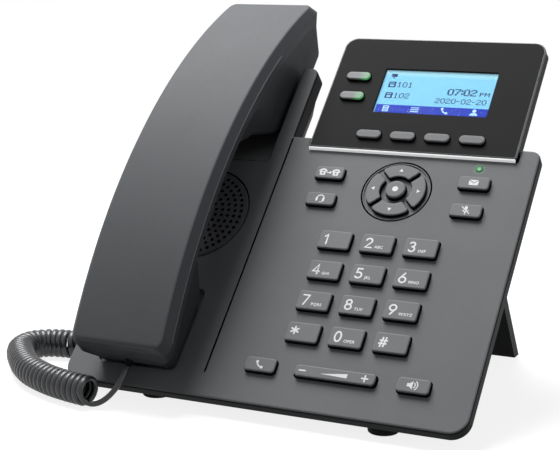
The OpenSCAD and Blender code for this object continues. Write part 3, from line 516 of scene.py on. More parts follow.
def face_finish(name):
    """Face plastic, with the lamp's faint green light painted on it as a glow."""
    tree, shader = moulded(name, colours().face, 0.6, bump=0.16, dust=0.02, specular=0.15)
    painted_lamp_glow = remap(tree, distance(tree, FACE @ Vector((*LAMP, 0.0))), 0.0008, 0.0034,
                 interpolation_type="SMOOTHERSTEP")
    feed(shader, Emission_Color=mix_colours(tree, painted_lamp_glow, (0.0, 0.16, 0.03), BLACK), Emission_Strength=1.0)


def glow(name, base, colour, near, far, centre=None):
    """Plastic that glows round a centre, or without one, towards its right side."""
    tree, shader = start_material(name, Emission_Strength=1.0, Specular_IOR_Level=0.25)
    grained(tree, shader, base, Grain=2600.0, Roughness=0.45)
    if centre is None:
        reach, ends = add(tree, "SeparateXYZ", object_place(tree), out="X"), (BLACK, colour)
    else:
        reach, ends = distance(tree, centre), (colour, BLACK)
    mask = remap(tree, reach, near, far, interpolation_type="SMOOTHSTEP")
    feed(shader, Emission_Color=mix_colours(tree, mask, *ends))


def clear_glass(name):
    tree, shader = start_material(name, Alpha=0.03, Roughness=0.1)
    noise = add(tree, "TexNoise", object_place(tree), Scale=300.0)
    feed(shader, Base_Color=mix_colours(tree, noise, (0.55, 0.58, 0.60), (0.65, 0.68, 0.70)))


def clear_plastic(name):
    tree, shader = start_material(name, Transmission_Weight=0.7)
    grained(tree, shader, (0.72, 0.74, 0.75), Grain=1500.0, Roughness=0.2)


def brushed(name, colour, roughness):
    tree, shader = start_material(name, Metallic=1.0)
    place = add(tree, "Mapping", object_place(tree), Scale=(1.0, 0.06, 1.0))
    noise = add(tree, "TexNoise", place, Scale=900.0, Detail=4.0)
    feed(shader, Roughness=add(tree, "MapRange", noise, To_Min=roughness - 0.1, To_Max=roughness + 0.12),
         Base_Color=mix_colours(tree, noise, [c * 0.85 for c in colour], colour))


def circuit_board(name):
    tree, shader = start_material(name, Roughness=0.3)
    bricks = add(tree, "TexBrick", object_place(tree), Scale=180.0, Mortar_Size=0.04,
                 Color1=(0.01, 0.11, 0.035, 1), Color2=(0.015, 0.15, 0.05, 1), Mortar=(0.06, 0.26, 0.09, 1))
    raised = add(tree, "Bump", Height=bricks.node.outputs["Fac"], Strength=0.3, Distance=0.0001)
    feed(shader, Base_Color=bricks, Normal=raised)


def finish(name):
    """The named finish, made the first time that it is asked for."""
    if name not in bpy.data.materials:
        make_finish(name)
    return bpy.data.materials[name]


def make_finish(name):
    c = colours()
    # Colour, roughness, height of the grain, specular level, fineness of the grain, dust and clouding.
    plastics = {
        "key plastic": (c.key, 0.55, 0.08, 0.2, 2600.0),
        # Key walls are near black as painted shade; the keys are grey all through.
        "key wall plastic": ((0.004, 0.004, 0.005), 0.55, 0.08, 0.08),
        "handset plastic": (c.handset, 0.6, 0.14, 0.15, 2400.0, 0.02),
        "handset rim plastic": ((0.12, 0.125, 0.135), 0.45, 0.12, 0.3),
        "handset side plastic": ((0.040, 0.042, 0.046), 0.55, 0.12, 0.12),
        # Darker copy of the handset grey for the bevel and end walls: painted shade.
        "bevel plastic": ((0.058, 0.061, 0.068), 0.55, 0.12, 0.15),
        "dark plastic": (c.dark, 0.5, 0.2, 0.04, 1700.0, 0.015),
        # Near black of walls: painted shade on the face's skirt and rim and on the screen frame's walls, and the
        # plug boot's own black.
        "edge plastic": ((0.007, 0.008, 0.009), 0.5, 0.1, 0.05),
        "frame plastic": (c.frame, 0.55, 0.06, 0.035, 2600.0, 0.0, 0.03),
        # Light grey of the screen frame's rim: a painted highlight on the charcoal frame.
        "frame edge plastic": ((0.16, 0.165, 0.17), 0.4, 0.06, 0.3),
        "grille plastic": ((0.11, 0.113, 0.118), 0.5, 0.16, 0.2),
        # Near black of holes, grooves and their floors: painted shade.
        "hollow black": ((0.002, 0.002, 0.002), 0.9, 0.12, 0.0),
        "key ink": (c.ink, 0.5, 0.02, 0.2, 2200.0, 0.0, 0.03),
        "cord rubber": ((0.034, 0.036, 0.040), 0.32, 0.05, 0.5, 3500.0),
        "foot rubber": ((0.010, 0.010, 0.011), 0.65, 0.25, 0.1, 1800.0, 0.04),
        "mat rubber": ((0.55, 0.55, 0.53), 0.6),
    }
    if name in plastics:
        moulded(name, *plastics[name])
        return
    line_left = LINE[0][0] / 1000
    maker, *given = {
        "face plastic": (face_finish,),
        "white trim plastic": (bright_trim,),
        "screen blue": (lit, c.screen, 0.4, 0.12, (0.0215, 0.0235, (0.34, 0.68, 0.80))),
        "screen bar blue": (lit, c.bar, 0.4, 0.15),
        "screen ink": (lit, (0.0, 0.025, 0.15), 0.3),
        "screen icon": (lit, (0.40, 0.70, 0.92), 0.35),
        "lamp green": (glow, (0.08, 0.14, 0.09), (0.03, 0.55, 0.10), 0.0001, 0.0013,
                       FACE @ Vector((*LAMP, 0.1))),
        "line key glow": (glow, c.key, (0.01, 0.20, 0.035), line_left - 0.0003, line_left + 0.0042),
        "clear window": (clear_glass,),
        "clear plug plastic": (clear_plastic,),
        "gold contact": (brushed, (0.75, 0.52, 0.20), 0.3),
        "plain steel": (brushed, (0.55, 0.55, 0.56), 0.35),
        "driver metal": (brushed, (0.12, 0.12, 0.125), 0.45),
        "circuit board": (circuit_board,),
    }[name]
    maker(name, *given)


# ---- Cord ----

COIL_ROUTE = [(-69.8, -10.6), (-81.3, -8.3), (-94.3, -4.2), (-107.4, 2.5), (-115.2, 8.6), (-121.8, 15.2),
              (-129.6, 24.4), (-133.4, 31), (-133.8, 38.4), (-129.8, 44), (-123.6, 46.8), (-115.8, 48),
              (-109.5, 50.6), (-104.6, 55.5), (-102, 62), (-101.4, 70), (-101.4, 78)]
BASE_TAIL_ROUTE = [(-90.3, 70, 57.85), (-95.6, 70.1, 57.4), (-99.4, 71.2, 54.2), (-101.4, 73.2, 48),
                   (-102.6, 76.6, 40), (-103, 80.6, 32), (-103, 84.6, 24), (-102.8, 87.2, 17),
                   (-102.2, 87.4, 11.4), (-101.8, 85.4, 7.8), (-101.4, 82, 6.7), (-101.4, 78.1, 6.7)]
HANDSET_TAIL_ROUTE = [(-69.15, -11.05, 1.4), (-67.6, -12.2, 1.3), (-65.4, -12.8, 1.5), (-63.2, -12, 2.4),
                      (-61.4, -9.8, 4.6), (-59.4, -6.6, 8), (-58.3, -3, 11.8), (-58.2, 0.39, 15.5)]


def smooth_line(points, step):
    """Points every step along a smooth line through the given ones."""
    p = [Vector(q) for q in points]
    p = [2 * p[0] - p[1]] + p + [2 * p[-1] - p[-2]]
    fine, parts = [], 24
    for i in range(1, len(p) - 2):
        for k in range(parts):
            t = k / parts
            fine.append(0.5 * ((2 * p[i]) + (p[i + 1] - p[i - 1]) * t
                               + (2 * p[i - 1] - 5 * p[i] + 4 * p[i + 1] - p[i + 2]) * t * t
                               + (3 * p[i] - p[i - 1] - 3 * p[i + 1] + p[i + 2]) * t ** 3))
    fine.append(p[-2])
    out, want, gone = [fine[0]], step, 0.0
    for a, b in zip(fine, fine[1:]):
        length = (b - a).length
        while length > 0 and gone + length >= want:
            out.append(a.lerp(b, (want - gone) / length))
            want += step
        gone += length
    if (out[-1] - fine[-1]).length > step * 0.3:
        out.append(fine[-1])
    else:
        out[-1] = fine[-1]
    return out


def line_length(points):
    return sum((b - a).length for a, b in zip(points, points[1:]))


def side_vectors(points, first):
    """Side directions carried along a line without twist."""
    out, side = [], Vector(first)
    for i in range(len(points)):
        d = (points[min(i + 1, len(points) - 1)] - points[max(i - 1, 0)]).normalized()
        side = (side - d * side.dot(d)).normalized()
        out.append((side.copy(), d.cross(side)))
    return out


def eased(points, first, last, rounds):
    """The line smoothed from the first to the last place, most of all in the middle."""
    for _ in range(rounds):
        moved = []
        for i in range(first, last):
            pull = 0.6 * min(1.0, (i - first + 1) / 10, (last - i) / 10)
            moved.append(points[i].lerp((points[i - 1] + points[i + 1]) / 2, pull))
        points[first:last] = moved
    return points


def cord_points():
    """The cord's middle line from housing to handset, with the coil's direction at each point, in millimetres."""
    s = sizes()
    coil_r = (s.coil_width - s.cord_width) * 500
    curl_points, tail_step, start_turns = 18, 1.2, 1.2
    middle = smooth_line([(*p, s.coil_width * 500) for p in reversed(COIL_ROUTE)], 0.12)
    turns = round(line_length(middle) / (s.curl_step * 1000))
    sides = side_vectors(middle, (0, 0, -1))
    curls, along = [], []
    count = turns * curl_points
    for k in range(count + 1):
        t = k / count
        at = min(int(t * (len(middle) - 1)), len(middle) - 2)
        a = 2 * math.pi * turns * (1 - t)
        side, other = sides[at]
        grow = min(1.0, t * turns / start_turns)
        grow = grow * grow * (3 - 2 * grow)
        curls.append(middle[at] + (side * math.cos(a) - other * math.sin(a)) * coil_r * grow)
        along.append((middle[at + 1] - middle[at]).normalized())
    tail = smooth_line(BASE_TAIL_ROUTE, tail_step)
    end = smooth_line([tuple(curls[-1])] + HANDSET_TAIL_ROUTE[1:], tail_step)
    points = tail[:-1] + curls + end[1:]
    points = eased(points, len(tail) - 22, len(tail) + 16, 40)
    points = eased(points, len(points) - len(end) - 4, len(points) - 1, 30)
    plain = Vector((0, 0, 0))
    return points, [plain] * (len(tail) - 1) + along + [plain] * (len(end) - 1)


def tube(points, radius, along, sides=12, flatness=0.36):
    """Round tube, drawn out along the coil's direction where it is curled."""
    form = Form()
    across = side_vectors(points, (0.2, 0.1, 1))
    last = None
    for i, p in enumerate(points):
        side, other = across[i]
        spread = sum((along[j] for j in range(max(i - 6, 0), min(i + 7, len(points)))), Vector()) / 13
        ring = []
        for k in range(sides):
            turn = 2 * math.pi * k / sides
            out = (side * math.cos(turn) + other * math.sin(turn)) * radius
            ring.append(p + out + spread * out.dot(spread) * flatness)
        ring = form.ring(ring)
        if last:
            form.skin(last, ring)
        else:
            form.face(ring)
        last = ring
    form.face(last)
    return form


def modular_plug(name, middle, out, up, node, body):
    """Small plug with its latch, four contacts and a tapered boot: middle of its mouth, way out, way up."""
    form = Form()
    d, u = Vector(out).normalized(), Vector(up).normalized()
    s = d.cross(u)

    def lay(loop, y):
        return form.ring([Vector(middle) + s * x + u * z + d * y for x, z in loop])

    # Place along the plug, half width, foot, top and corner of each section of the body, latch and boot.
    body_sections = ((-8.5, 3.5, -2.7, 1.9, 0.3), (-8.2, 3.8, -3.0, 2.2, 0.5), (-0.5, 3.8, -3.0, 2.2, 0.5),
                     (-0.2, 3.5, -2.7, 1.9, 0.5))
    latch = ((-7.0, 1.3, 1.9, 2.8, 0.2), (-6.7, 1.6, 1.9, 3.0, 0.3), (-0.6, 1.6, 1.9, 3.0, 0.3),
             (-0.3, 1.3, 1.9, 2.7, 0.2))
    boot = ((-0.3, 2.2, -1.9, 1.5, 0.9), (0.5, 2.0, -1.8, 1.5, 1.2), (1.6, 1.6, -1.55, 1.45, 1.4),
            (2.6, 1.4, -1.4, 1.4, 1.35))
    for sections, number in ((body_sections, 0), (latch, 0), (boot, 2)):
        form.stack([lay(round_rect(-w, w, low, top, r, 3), y) for y, w, low, top, r in sections], number)
    for i in range(4):
        x = -1.53 + 1.02 * i
        form.stack([lay(box(x - 0.25, x + 0.25, -3.1, -2.9), y) for y in (-8.0, -4.5)], 1)
    return make_piece(name, form, ["clear plug plastic", "gold contact", "edge plastic"], body,
                      (node,), place=TABLE, smooth=False)


class PHONE_OT_cord(bpy.types.Operator):
    """The curly cord from the housing's side to the handset, with its two plugs"""
    bl_idname = "phone.make_cord"
    bl_label = "Cord"

    def execute(self, context):
        up = Vector((0, -TILT, TILT))
        home = modular_plug("base_cord_plug", (-86.2, 70.0, 57.85), (-1, 0, 0), up, "base_plug", "base")
        far = modular_plug("handset_cord_plug", (CRADLE, 3.26, 18.38), (0, -TILT, -TILT), -up, "handset_plug",
                           "handset")
        points, along = cord_points()
        form = tube(points, sizes().cord_width * 500, along)
        cord = make_piece("handset_cord", form, ["cord rubber"], "base",
                          ("cord_base_tail", "cord_coil", "cord_handset_tail"), place=TABLE, sharp=60,
                          smooth=False)
        cord.parent = None
        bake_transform(cord)
        return {"FINISHED"}


# ---- Face ----

EAR_POCKET = (CRADLE - 24.6, CRADLE + 24.6)
POCKET_DEPTH = [(122.0, -0.4), (148.0, -14.6)]


def face_outline():
    left, right = EAR_POCKET
    x0, x1, foot = HEAD[0] - 0.3, HEAD[1] + 0.3, HEAD[2] - 0.3
    corners = [
        ((LEFT, 0), 8), ((RIGHT, 0), 8), ((RIGHT, TOP), 7), ((x1, TOP), 0.6), ((x1, foot), 0.8),
        ((x0, foot), 0.8), ((x0, TOP), 0.6), ((SEAM, TOP), 0.0), ((SEAM, TOP + 0.05), 0.0),
        ((SEAM, HORN_TOP), 6), ((right, HORN_TOP), 0.8), ((right, 148), 0.0), ((right, 122), 1.0),
        ((left, 122), 1.0), ((left, 148), 0.0), ((left, HORN_TOP), 0.8), ((LEFT, HORN_TOP), 6),
        ((LEFT, TOP + 0.05), 0.0), ((LEFT, TOP), 0.0)]
    return rounded([c for c, _ in corners], [r for _, r in corners], 8)


def wall_foot(x, v):
    """Depth that the face's edge reaches: the skirt, the horn's sides and the ear pocket's floor."""
    if abs(x - CRADLE) < 24.7 and v > 121:
        return between(POCKET_DEPTH, v)
    return -8.0 if v > TOP + 0.02 else -SKIRT


class PHONE_OT_face(bpy.types.Operator):
    """The grey upper shell with its key windows, pockets, seam and round key field"""
    bl_idname = "phone.make_face"
    bl_label = "Keypad face"

    def execute(self, context):
        edge = sizes().face_edge
        form = Form()
        outline = face_outline()
        # Hole walls and floors of finish 2 are near black: painted shade in the hollows.
        # Loop, rounding of its edge, depth, finish of its wall and whether it has a floor.
        holes = [(round_rect(CRADLE - 19.3, CRADLE + 19.3, 10.2, 51, 3), 0.2, -2.0, 0, True),
                 (round_rect(SEAM - 0.4, SEAM + 0.4, 11.6, 136.2, 0.35, 3), 0.08, -0.9, 2, True),
                 (circle(*GRILLE, 96), 0.2, -2.4, 2, True),
                 (circle(*NAV, 15.95, 96), 0.1, -0.6, 2, False)]
        windows = [circle(*LAMP, 1.7, 24), around(VOLUME, VOLUME_WINDOW, 1.6, 0.35)]
        windows += [around((x, y), DIAL_SIZE, 1.1, 0.4) for x in DIAL_X for y in DIAL_Y]
        windows += [around(p, FUNCTION_SIZE, 1.5, 0.4) for p in FUNCTION.values()]
        holes += [(loop, 0.15, -2.5, 2, False) for loop in windows]
        tops = form.sheet([inset(outline, edge)] + [inset(hole[0], -hole[1]) for hole in holes], 0.0)
        # The skirt's wall and the rim's lower half are near black: painted shade.
        form.rim(tops[0], outline, 0.0, edge, wall_foot, 1, wall=1, dark_from=3)
        for (loop, r, depth, wall, has_floor), top in zip(holes, tops[1:]):
            foot = form.rim(top, loop, 0.0, r, depth, -1, wall=wall, steps=3)
            if has_floor:
                form.face(foot, wall)
        self.key_field(form)
        self.ear_pocket(form)
        self.grille()
        make_piece("keypad_face", form, ["face plastic", "edge plastic", "hollow black"], "base",
                   ("upper_housing",))
        return {"FINISHED"}

    def key_field(self, form):
        """Shallow dish with a groove round it, cut through for the arrow keys and the middle key."""
        form.lathe(NAV, [(15.95, -0.6), (15.3, -0.6), (15.3, -0.2)], 96, 2)
        form.lathe(NAV, [(15.3, -0.2), (15.22, -0.05), (15.1, 0.0), (14.95, 0.0), (14.75, -0.05), (14.7, -0.2),
                         (14.7, -0.5)], 96, 0)
        loops = [circle(*NAV, 14.7, 96)] + [arrow_outline(i, 0.35) for i in range(4)] + [circle(*NAV, 4.85, 48)]
        floor = form.sheet(loops, -0.5)
        for loop, top in zip(loops[1:], floor[1:]):
            form.rim(top, loop, -0.5, 0.01, -2.5, -1, wall=2, steps=1)

    def grille(self):
        """Flush round grille with rings of sound holes."""
        form, (x, y, r) = Form(), GRILLE
        outline, pitch = circle(x, y, r - 0.75, 96), 3.05
        middles = [(x, y)]
        for ring in range(1, 8):
            middles += circle(x, y, pitch * ring, round(2 * math.pi * ring))
        holes = [circle(*at, 0.8, 12) for at in middles]
        top = form.sheet([inset(outline, 0.3)] + holes, 0.0)
        form.rim(top[0], outline, 0.0, 0.3, -1.5, 1)
        for loop, edge in zip(holes, top[1:]):
            form.rim(edge, loop, 0.0, 0.0, -1.5, -1, wall=1, steps=1)
        # The sheet under the sound holes is near black: painted shade.
        form.sheet([outline] + holes, -1.5, 1)
        make_piece("speaker_cover", form, ["grille plastic", "hollow black"], "base",
                   ("speaker_grille",), smooth=False)

    def ear_pocket(self, form):
        """Slope and floor that the handset's ear end lies over."""
        rows = [form.ring([(x, v, z) for x in EAR_POCKET])
                for v, z in (*POCKET_DEPTH, (HORN_TOP, POCKET_DEPTH[-1][1]))]
        for a, b in zip(rows, rows[1:]):
            form.face((a[0], a[1], b[1], b[0]))


def on_key_field(points, turn):
    """Points of the right arrow key, turned by quarters to another one."""
    a = math.radians(90 * turn)
    return [(NAV[0] + x * math.cos(a) - y * math.sin(a), NAV[1] + x * math.sin(a) + y * math.cos(a))
            for x, y in points]


def arrow_outline(turn, grow=0.0):
    """One arrow key: a quarter of a ring with its corners rounded."""
    inner, outer, back = 7.3 - grow, 13.4 + grow, 1.05 - grow
    half_out = 45 - math.degrees(math.asin(back / outer))
    half_in = 45 - math.degrees(math.asin(back / inner))
    far, near = arc(0, 0, outer, -half_out, half_out, 18), arc(0, 0, inner, half_in, -half_in, 12)
    trimmed = ([far[0]] + far[3:-3] + [far[-1]] + [near[0]] + near[2:-2] + [near[-1]])
    radii = {0: 1.1, len(far) - 5: 1.1, len(far) - 4: 0.8, len(trimmed) - 1: 0.8}
    return on_key_field(rounded(trimmed, [radii.get(i, 0.0) for i in range(len(trimmed))], 4), turn)


# ---- Screen head ----

FONT = {"0": "01110 10001 10001 10001 10001 10001 01110", "1": "00100 01100 00100 00100 00100 00100 01110",
        "2": "01110 10001 00001 00110 01000 10000 11111", "7": "11111 00001 00010 00100 00100 01000 01000",
        ":": "0 1 1 0 1 1 0", "-": "0000 0000 0000 1110 0000 0000 0000",
        "P": "1110 1001 1110 1000 1000", "M": "10001 11011 10101 10001 10001"}


class PHONE_OT_screen(bpy.types.Operator):
    """The charcoal head with its lit screen, clear window and a white strip of painted highlight along its foot
    """
    bl_idname = "phone.make_screen"
    bl_label = "Screen head"

    def execute(self, context):
        self.head()
        self.trim()
        self.picture()
        self.window()
        return {"FINISHED"}

    def head(self):
        form = Form()
        edge = sizes().frame_edge
        outline = rounded(box(*HEAD), [1.2, 1.2, 6.0, 6.0], 10)
        holes = [(round_rect(*SCREEN, 0.6, 3), 0.4)]
        holes += [(around(p, SOFT_SIZE, 2.2, 0.35), 0.15) for p in SOFT + LINE]
        tops = form.sheet([inset(outline, edge)] + [inset(h, -r) for h, r in holes], 2.0)
        # The outline's rim is light grey, a painted highlight; its wall is near black, painted shade.
        form.rim(tops[0], outline, 2.0, edge, -3.8, 1, finish=2, wall=1)
        # The walls of the screen and key openings are near black: painted shade.
        for (loop, r), top in zip(holes, tops[1:]):
            form.rim(top, loop, 2.0, r, -0.2, -1, wall=1, steps=3)
        make_piece("screen_frame", form, ["frame plastic", "edge plastic", "frame edge plastic"], "base",
                   ("display_frame",))

    def trim(self):
        # A white, glowing strip on the head's lower wall: a painted highlight.
        form = Form()
        x0, x1 = HEAD[0] + 0.3, HEAD[1] - 0.6
        foot, rear = HEAD[2] - 0.75, HEAD[2] + 0.1
        section = rounded([(foot, 0.08), (foot, 1.5), (rear, 1.7), (rear, 0.08)], [0.1, 0.6, 0.1, 0.1], 4)
        form.stack([form.ring([(x, v, z) for v, z in inset(section, i)]) for x, i in
                    ((x0, 0.1), (x0 + 0.1, 0), (x1 - 0.1, 0), (x1, 0.1))])
        make_piece("screen_trim_painted_highlight", form, ["white trim plastic"], "base", smooth=False)

    def picture(self):
        """Dots, rows and signs of the lit screen, in front of its module."""
        form = Form(1.05, (SCREEN[0], SCREEN[2]))
        width, height = SCREEN[1] - SCREEN[0], SCREEN[3] - SCREEN[2]
        module = [(round_rect(*grown(SCREEN, reach), 0.5, 3), z)
                  for reach, z in ((2.5, -3.4), (2.5, -0.85), (0.3, -0.85), (0.3, form.level - 0.02))]
        form.stack([form.ring(at_height(loop, z)) for loop, z in module], 4)
        form.patch(box(-0.3, width + 0.3, -0.3, height + 0.3))
        form.patch(box(0.6, width - 0.2, 0.5, 5.1), 1, 0.02)
        for row in (("07:02", 32.2, 12.0, 0.54, 0.65), ("PM", 47.4, 12.0, 0.46, 0.25),
                    ("2020-02-20", 27.6, 7.2, 0.42, 0.2), ("101", 7.2, 15.4, 0.44, 0.3),
                    ("102", 7.2, 9.0, 0.44, 0.3)):
            self.words(form, *row)
        for v in (15.2, 8.8):
            form.patch(round_rect(3.0, 6.6, v, v + 3.4, 0.5, 3), 2, 0.04)
            form.patch(round_rect(3.8, 5.8, v + 0.6, v + 1.7, 0.2, 3), 0, 0.06)
            form.stroke([(3.8, v + 2.5), (5.8, v + 2.5)], 0.35, 0, 0.06)
        form.patch(round_rect(3.0, 6.0, 21.4, 23.2, 0.4, 3), 2, 0.04)
        form.stroke([(4.5, 21.4), (4.5, 20.6)], 0.5, 2, 0.04)
        form.patch(box(4.0, 6.8, 1.1, 4.5), 3, 0.04)
        for k in range(3):
            form.patch(box(4.5, 6.3, 1.6 + k, 2.0 + k), 1, 0.06)
            form.stroke([(17.6, 1.7 + 1.1 * k), (21.2, 1.7 + 1.1 * k)], 0.5, 3, 0.04)
        handset_sign(form, 33.2, 2.8, 1.5, 3, 0.04)
        form.patch(circle(47.2, 3.7, 0.95, 16), 3, 0.04)
        form.patch(arc(47.2, 1.1, 1.9, 0, 180, 12, 1.6), 3, 0.04)
        finishes = ["screen blue", "screen bar blue", "screen ink", "screen icon", "dark plastic"]
        make_piece("screen_picture", form, finishes, "base", ("lcd_module",), flat=True)

    def words(self, form, text, x, v, size, bold):
        """Dotted letters, from a place on the screen, with a dot's size and how far it runs on."""
        for letter in text:
            rows = FONT[letter].split()
            for j, row in enumerate(reversed(rows)):
                for i, bit in enumerate(row):
                    if bit == "1":
                        a, b = x + i * size, v + j * size
                        form.patch(box(a, a + size * (0.9 + bold), b, b + size * 0.9), 2, 0.04)
            x += (len(rows[0]) + 1) * size

    def window(self):
        form = Form()
        loop = round_rect(*grown(SCREEN, -0.12), 0.5, 3)
        form.stack([form.ring(at_height(inset(loop, i), z)) for z, i in ((1.2, 0), (1.6, 0), (1.7, 0.1))])
        make_piece("screen_window", form, ["clear window"], "base", ("display_window",), sharp=10,
                   smooth=False)


# ---- Keys ----

class PHONE_OT_keys(bpy.types.Operator):
    """Every key, the volume rocker and the message lamp"""
    bl_idname = "phone.make_keys"
    bl_label = "Keys"

    def execute(self, context):
        r = sizes().key_edge
        places = [(f"dial_key_{n}", (DIAL_X[i % 3], DIAL_Y[i // 3]), DIAL_SIZE, 1.1) for i, n in enumerate(DIAL)]
        places += [(n, p, FUNCTION_SIZE, 1.5) for n, p in FUNCTION.items()]
        for node, at, size, corner in places:
            self.key(node, around(at, size, corner), -4.0, 2.0, r, node, "key plastic")
        for group, points in (("soft_key", SOFT), ("line_key", LINE)):
            for i, at in enumerate(points):
                node = f"{group}_{i + 1}"
                self.key(node, around(at, SOFT_SIZE, 2.2), -1.5, 3.5, 0.5, node,
                         "key plastic" if group == "soft_key" else "line key glow")
        for i, name in enumerate(ARROWS):
            node = f"arrow_key_{name}"
            self.key(node, arrow_outline(i), -4.0, 1.4, 0.35, node, "key plastic")
        self.key("ok_key", circle(*NAV, 4.5, 48), -4.0, 2.0, 0.6, "ok_key", "key plastic")
        self.key("volume_rocker", around(VOLUME, VOLUME_SIZE, 1.6), -3.6, 2.0, r, "volume", "key plastic")
        form = Form(0.14)
        form.lathe(LAMP, [(1.6, -2.6), (1.6, -0.05), (1.45, 0.05), (1.1, 0.11), (0.6, 0.14)], 32)
        form.patch(circle(*LAMP, 0.6, 32))
        make_piece("message_lamp", form, ["lamp green"], "base", ("message_light",))
        return {"FINISHED"}

    def key(self, node, loop, low, top, r, body, top_finish):
        form = Form()
        # The key's walls carry the painted shade.
        form.face(form.cap(loop, low, top, r, crown=0.03, wall=1, band=0.25, field=0.3), 1)
        make_piece(node + "_cap", form, [top_finish, "key wall plastic"], body, (node,))


def handset_sign(form, x, y, s, finish_number=0, up=0.0):
    line = arc(x + 1.05 * s, y + 1.0 * s, 1.75 * s, 178, 272, 12)
    form.stroke(line, 0.42 * s, finish_number, up)
    for p in (line[1], line[-2]):
        form.patch(circle(*p, 0.42 * s, 14), finish_number, up)


DIGITS = {
    "1": [[(0.10, 0.80), (0.34, 1.0), (0.34, 0.0)]],
    "2": [arc(0.30, 0.72, 0.27, 165, -25, 14) + [(0.05, 0.0), (0.60, 0.0)]],
    "3": [arc(0.28, 0.765, 0.235, 150, -90, 14), arc(0.28, 0.265, 0.265, 90, -150, 14)],
    "4": [[(0.46, 0.0), (0.46, 1.0), (0.02, 0.27), (0.62, 0.27)]],
    "5": [[(0.54, 1.0), (0.14, 1.0), (0.09, 0.56)] + arc(0.28, 0.32, 0.30, 125, -145, 16)],
    "6": [[(0.44, 1.0), (0.10, 0.48)], circle(0.31, 0.30, 0.29, 24) + [(0.60, 0.30)]],
    "7": [[(0.03, 1.0), (0.58, 1.0), (0.20, 0.0)]],
    "8": [circle(0.30, 0.76, 0.235, 20) + [(0.535, 0.76)], circle(0.30, 0.27, 0.27, 24) + [(0.57, 0.27)]],
    "9": [[(0.16, 0.0), (0.50, 0.52)], circle(0.29, 0.70, 0.29, 24) + [(0.58, 0.70)]],
    "0": [arc(0.30, 0.50, 0.27, 0, 360, 28, 0.50)],
    "star": [arc(0.30, 0.62, 0.36, a + 180, a, 1) for a in (30, 90, 150)],
    "hash": [[(0.14, 0.05), (0.28, 0.95)], [(0.42, 0.05), (0.56, 0.95)], [(0.02, 0.35), (0.62, 0.35)],
             [(0.08, 0.66), (0.68, 0.66)]],
}
LETTERS = {"2": "ABC", "3": "DEF", "4": "GHI", "5": "JKL", "6": "MNO", "7": "PQRS", "8": "TUV", "9": "WXYZ",
           "0": "OPER"}
INK_Z, ARROW_INK_Z = 2.045, 1.445


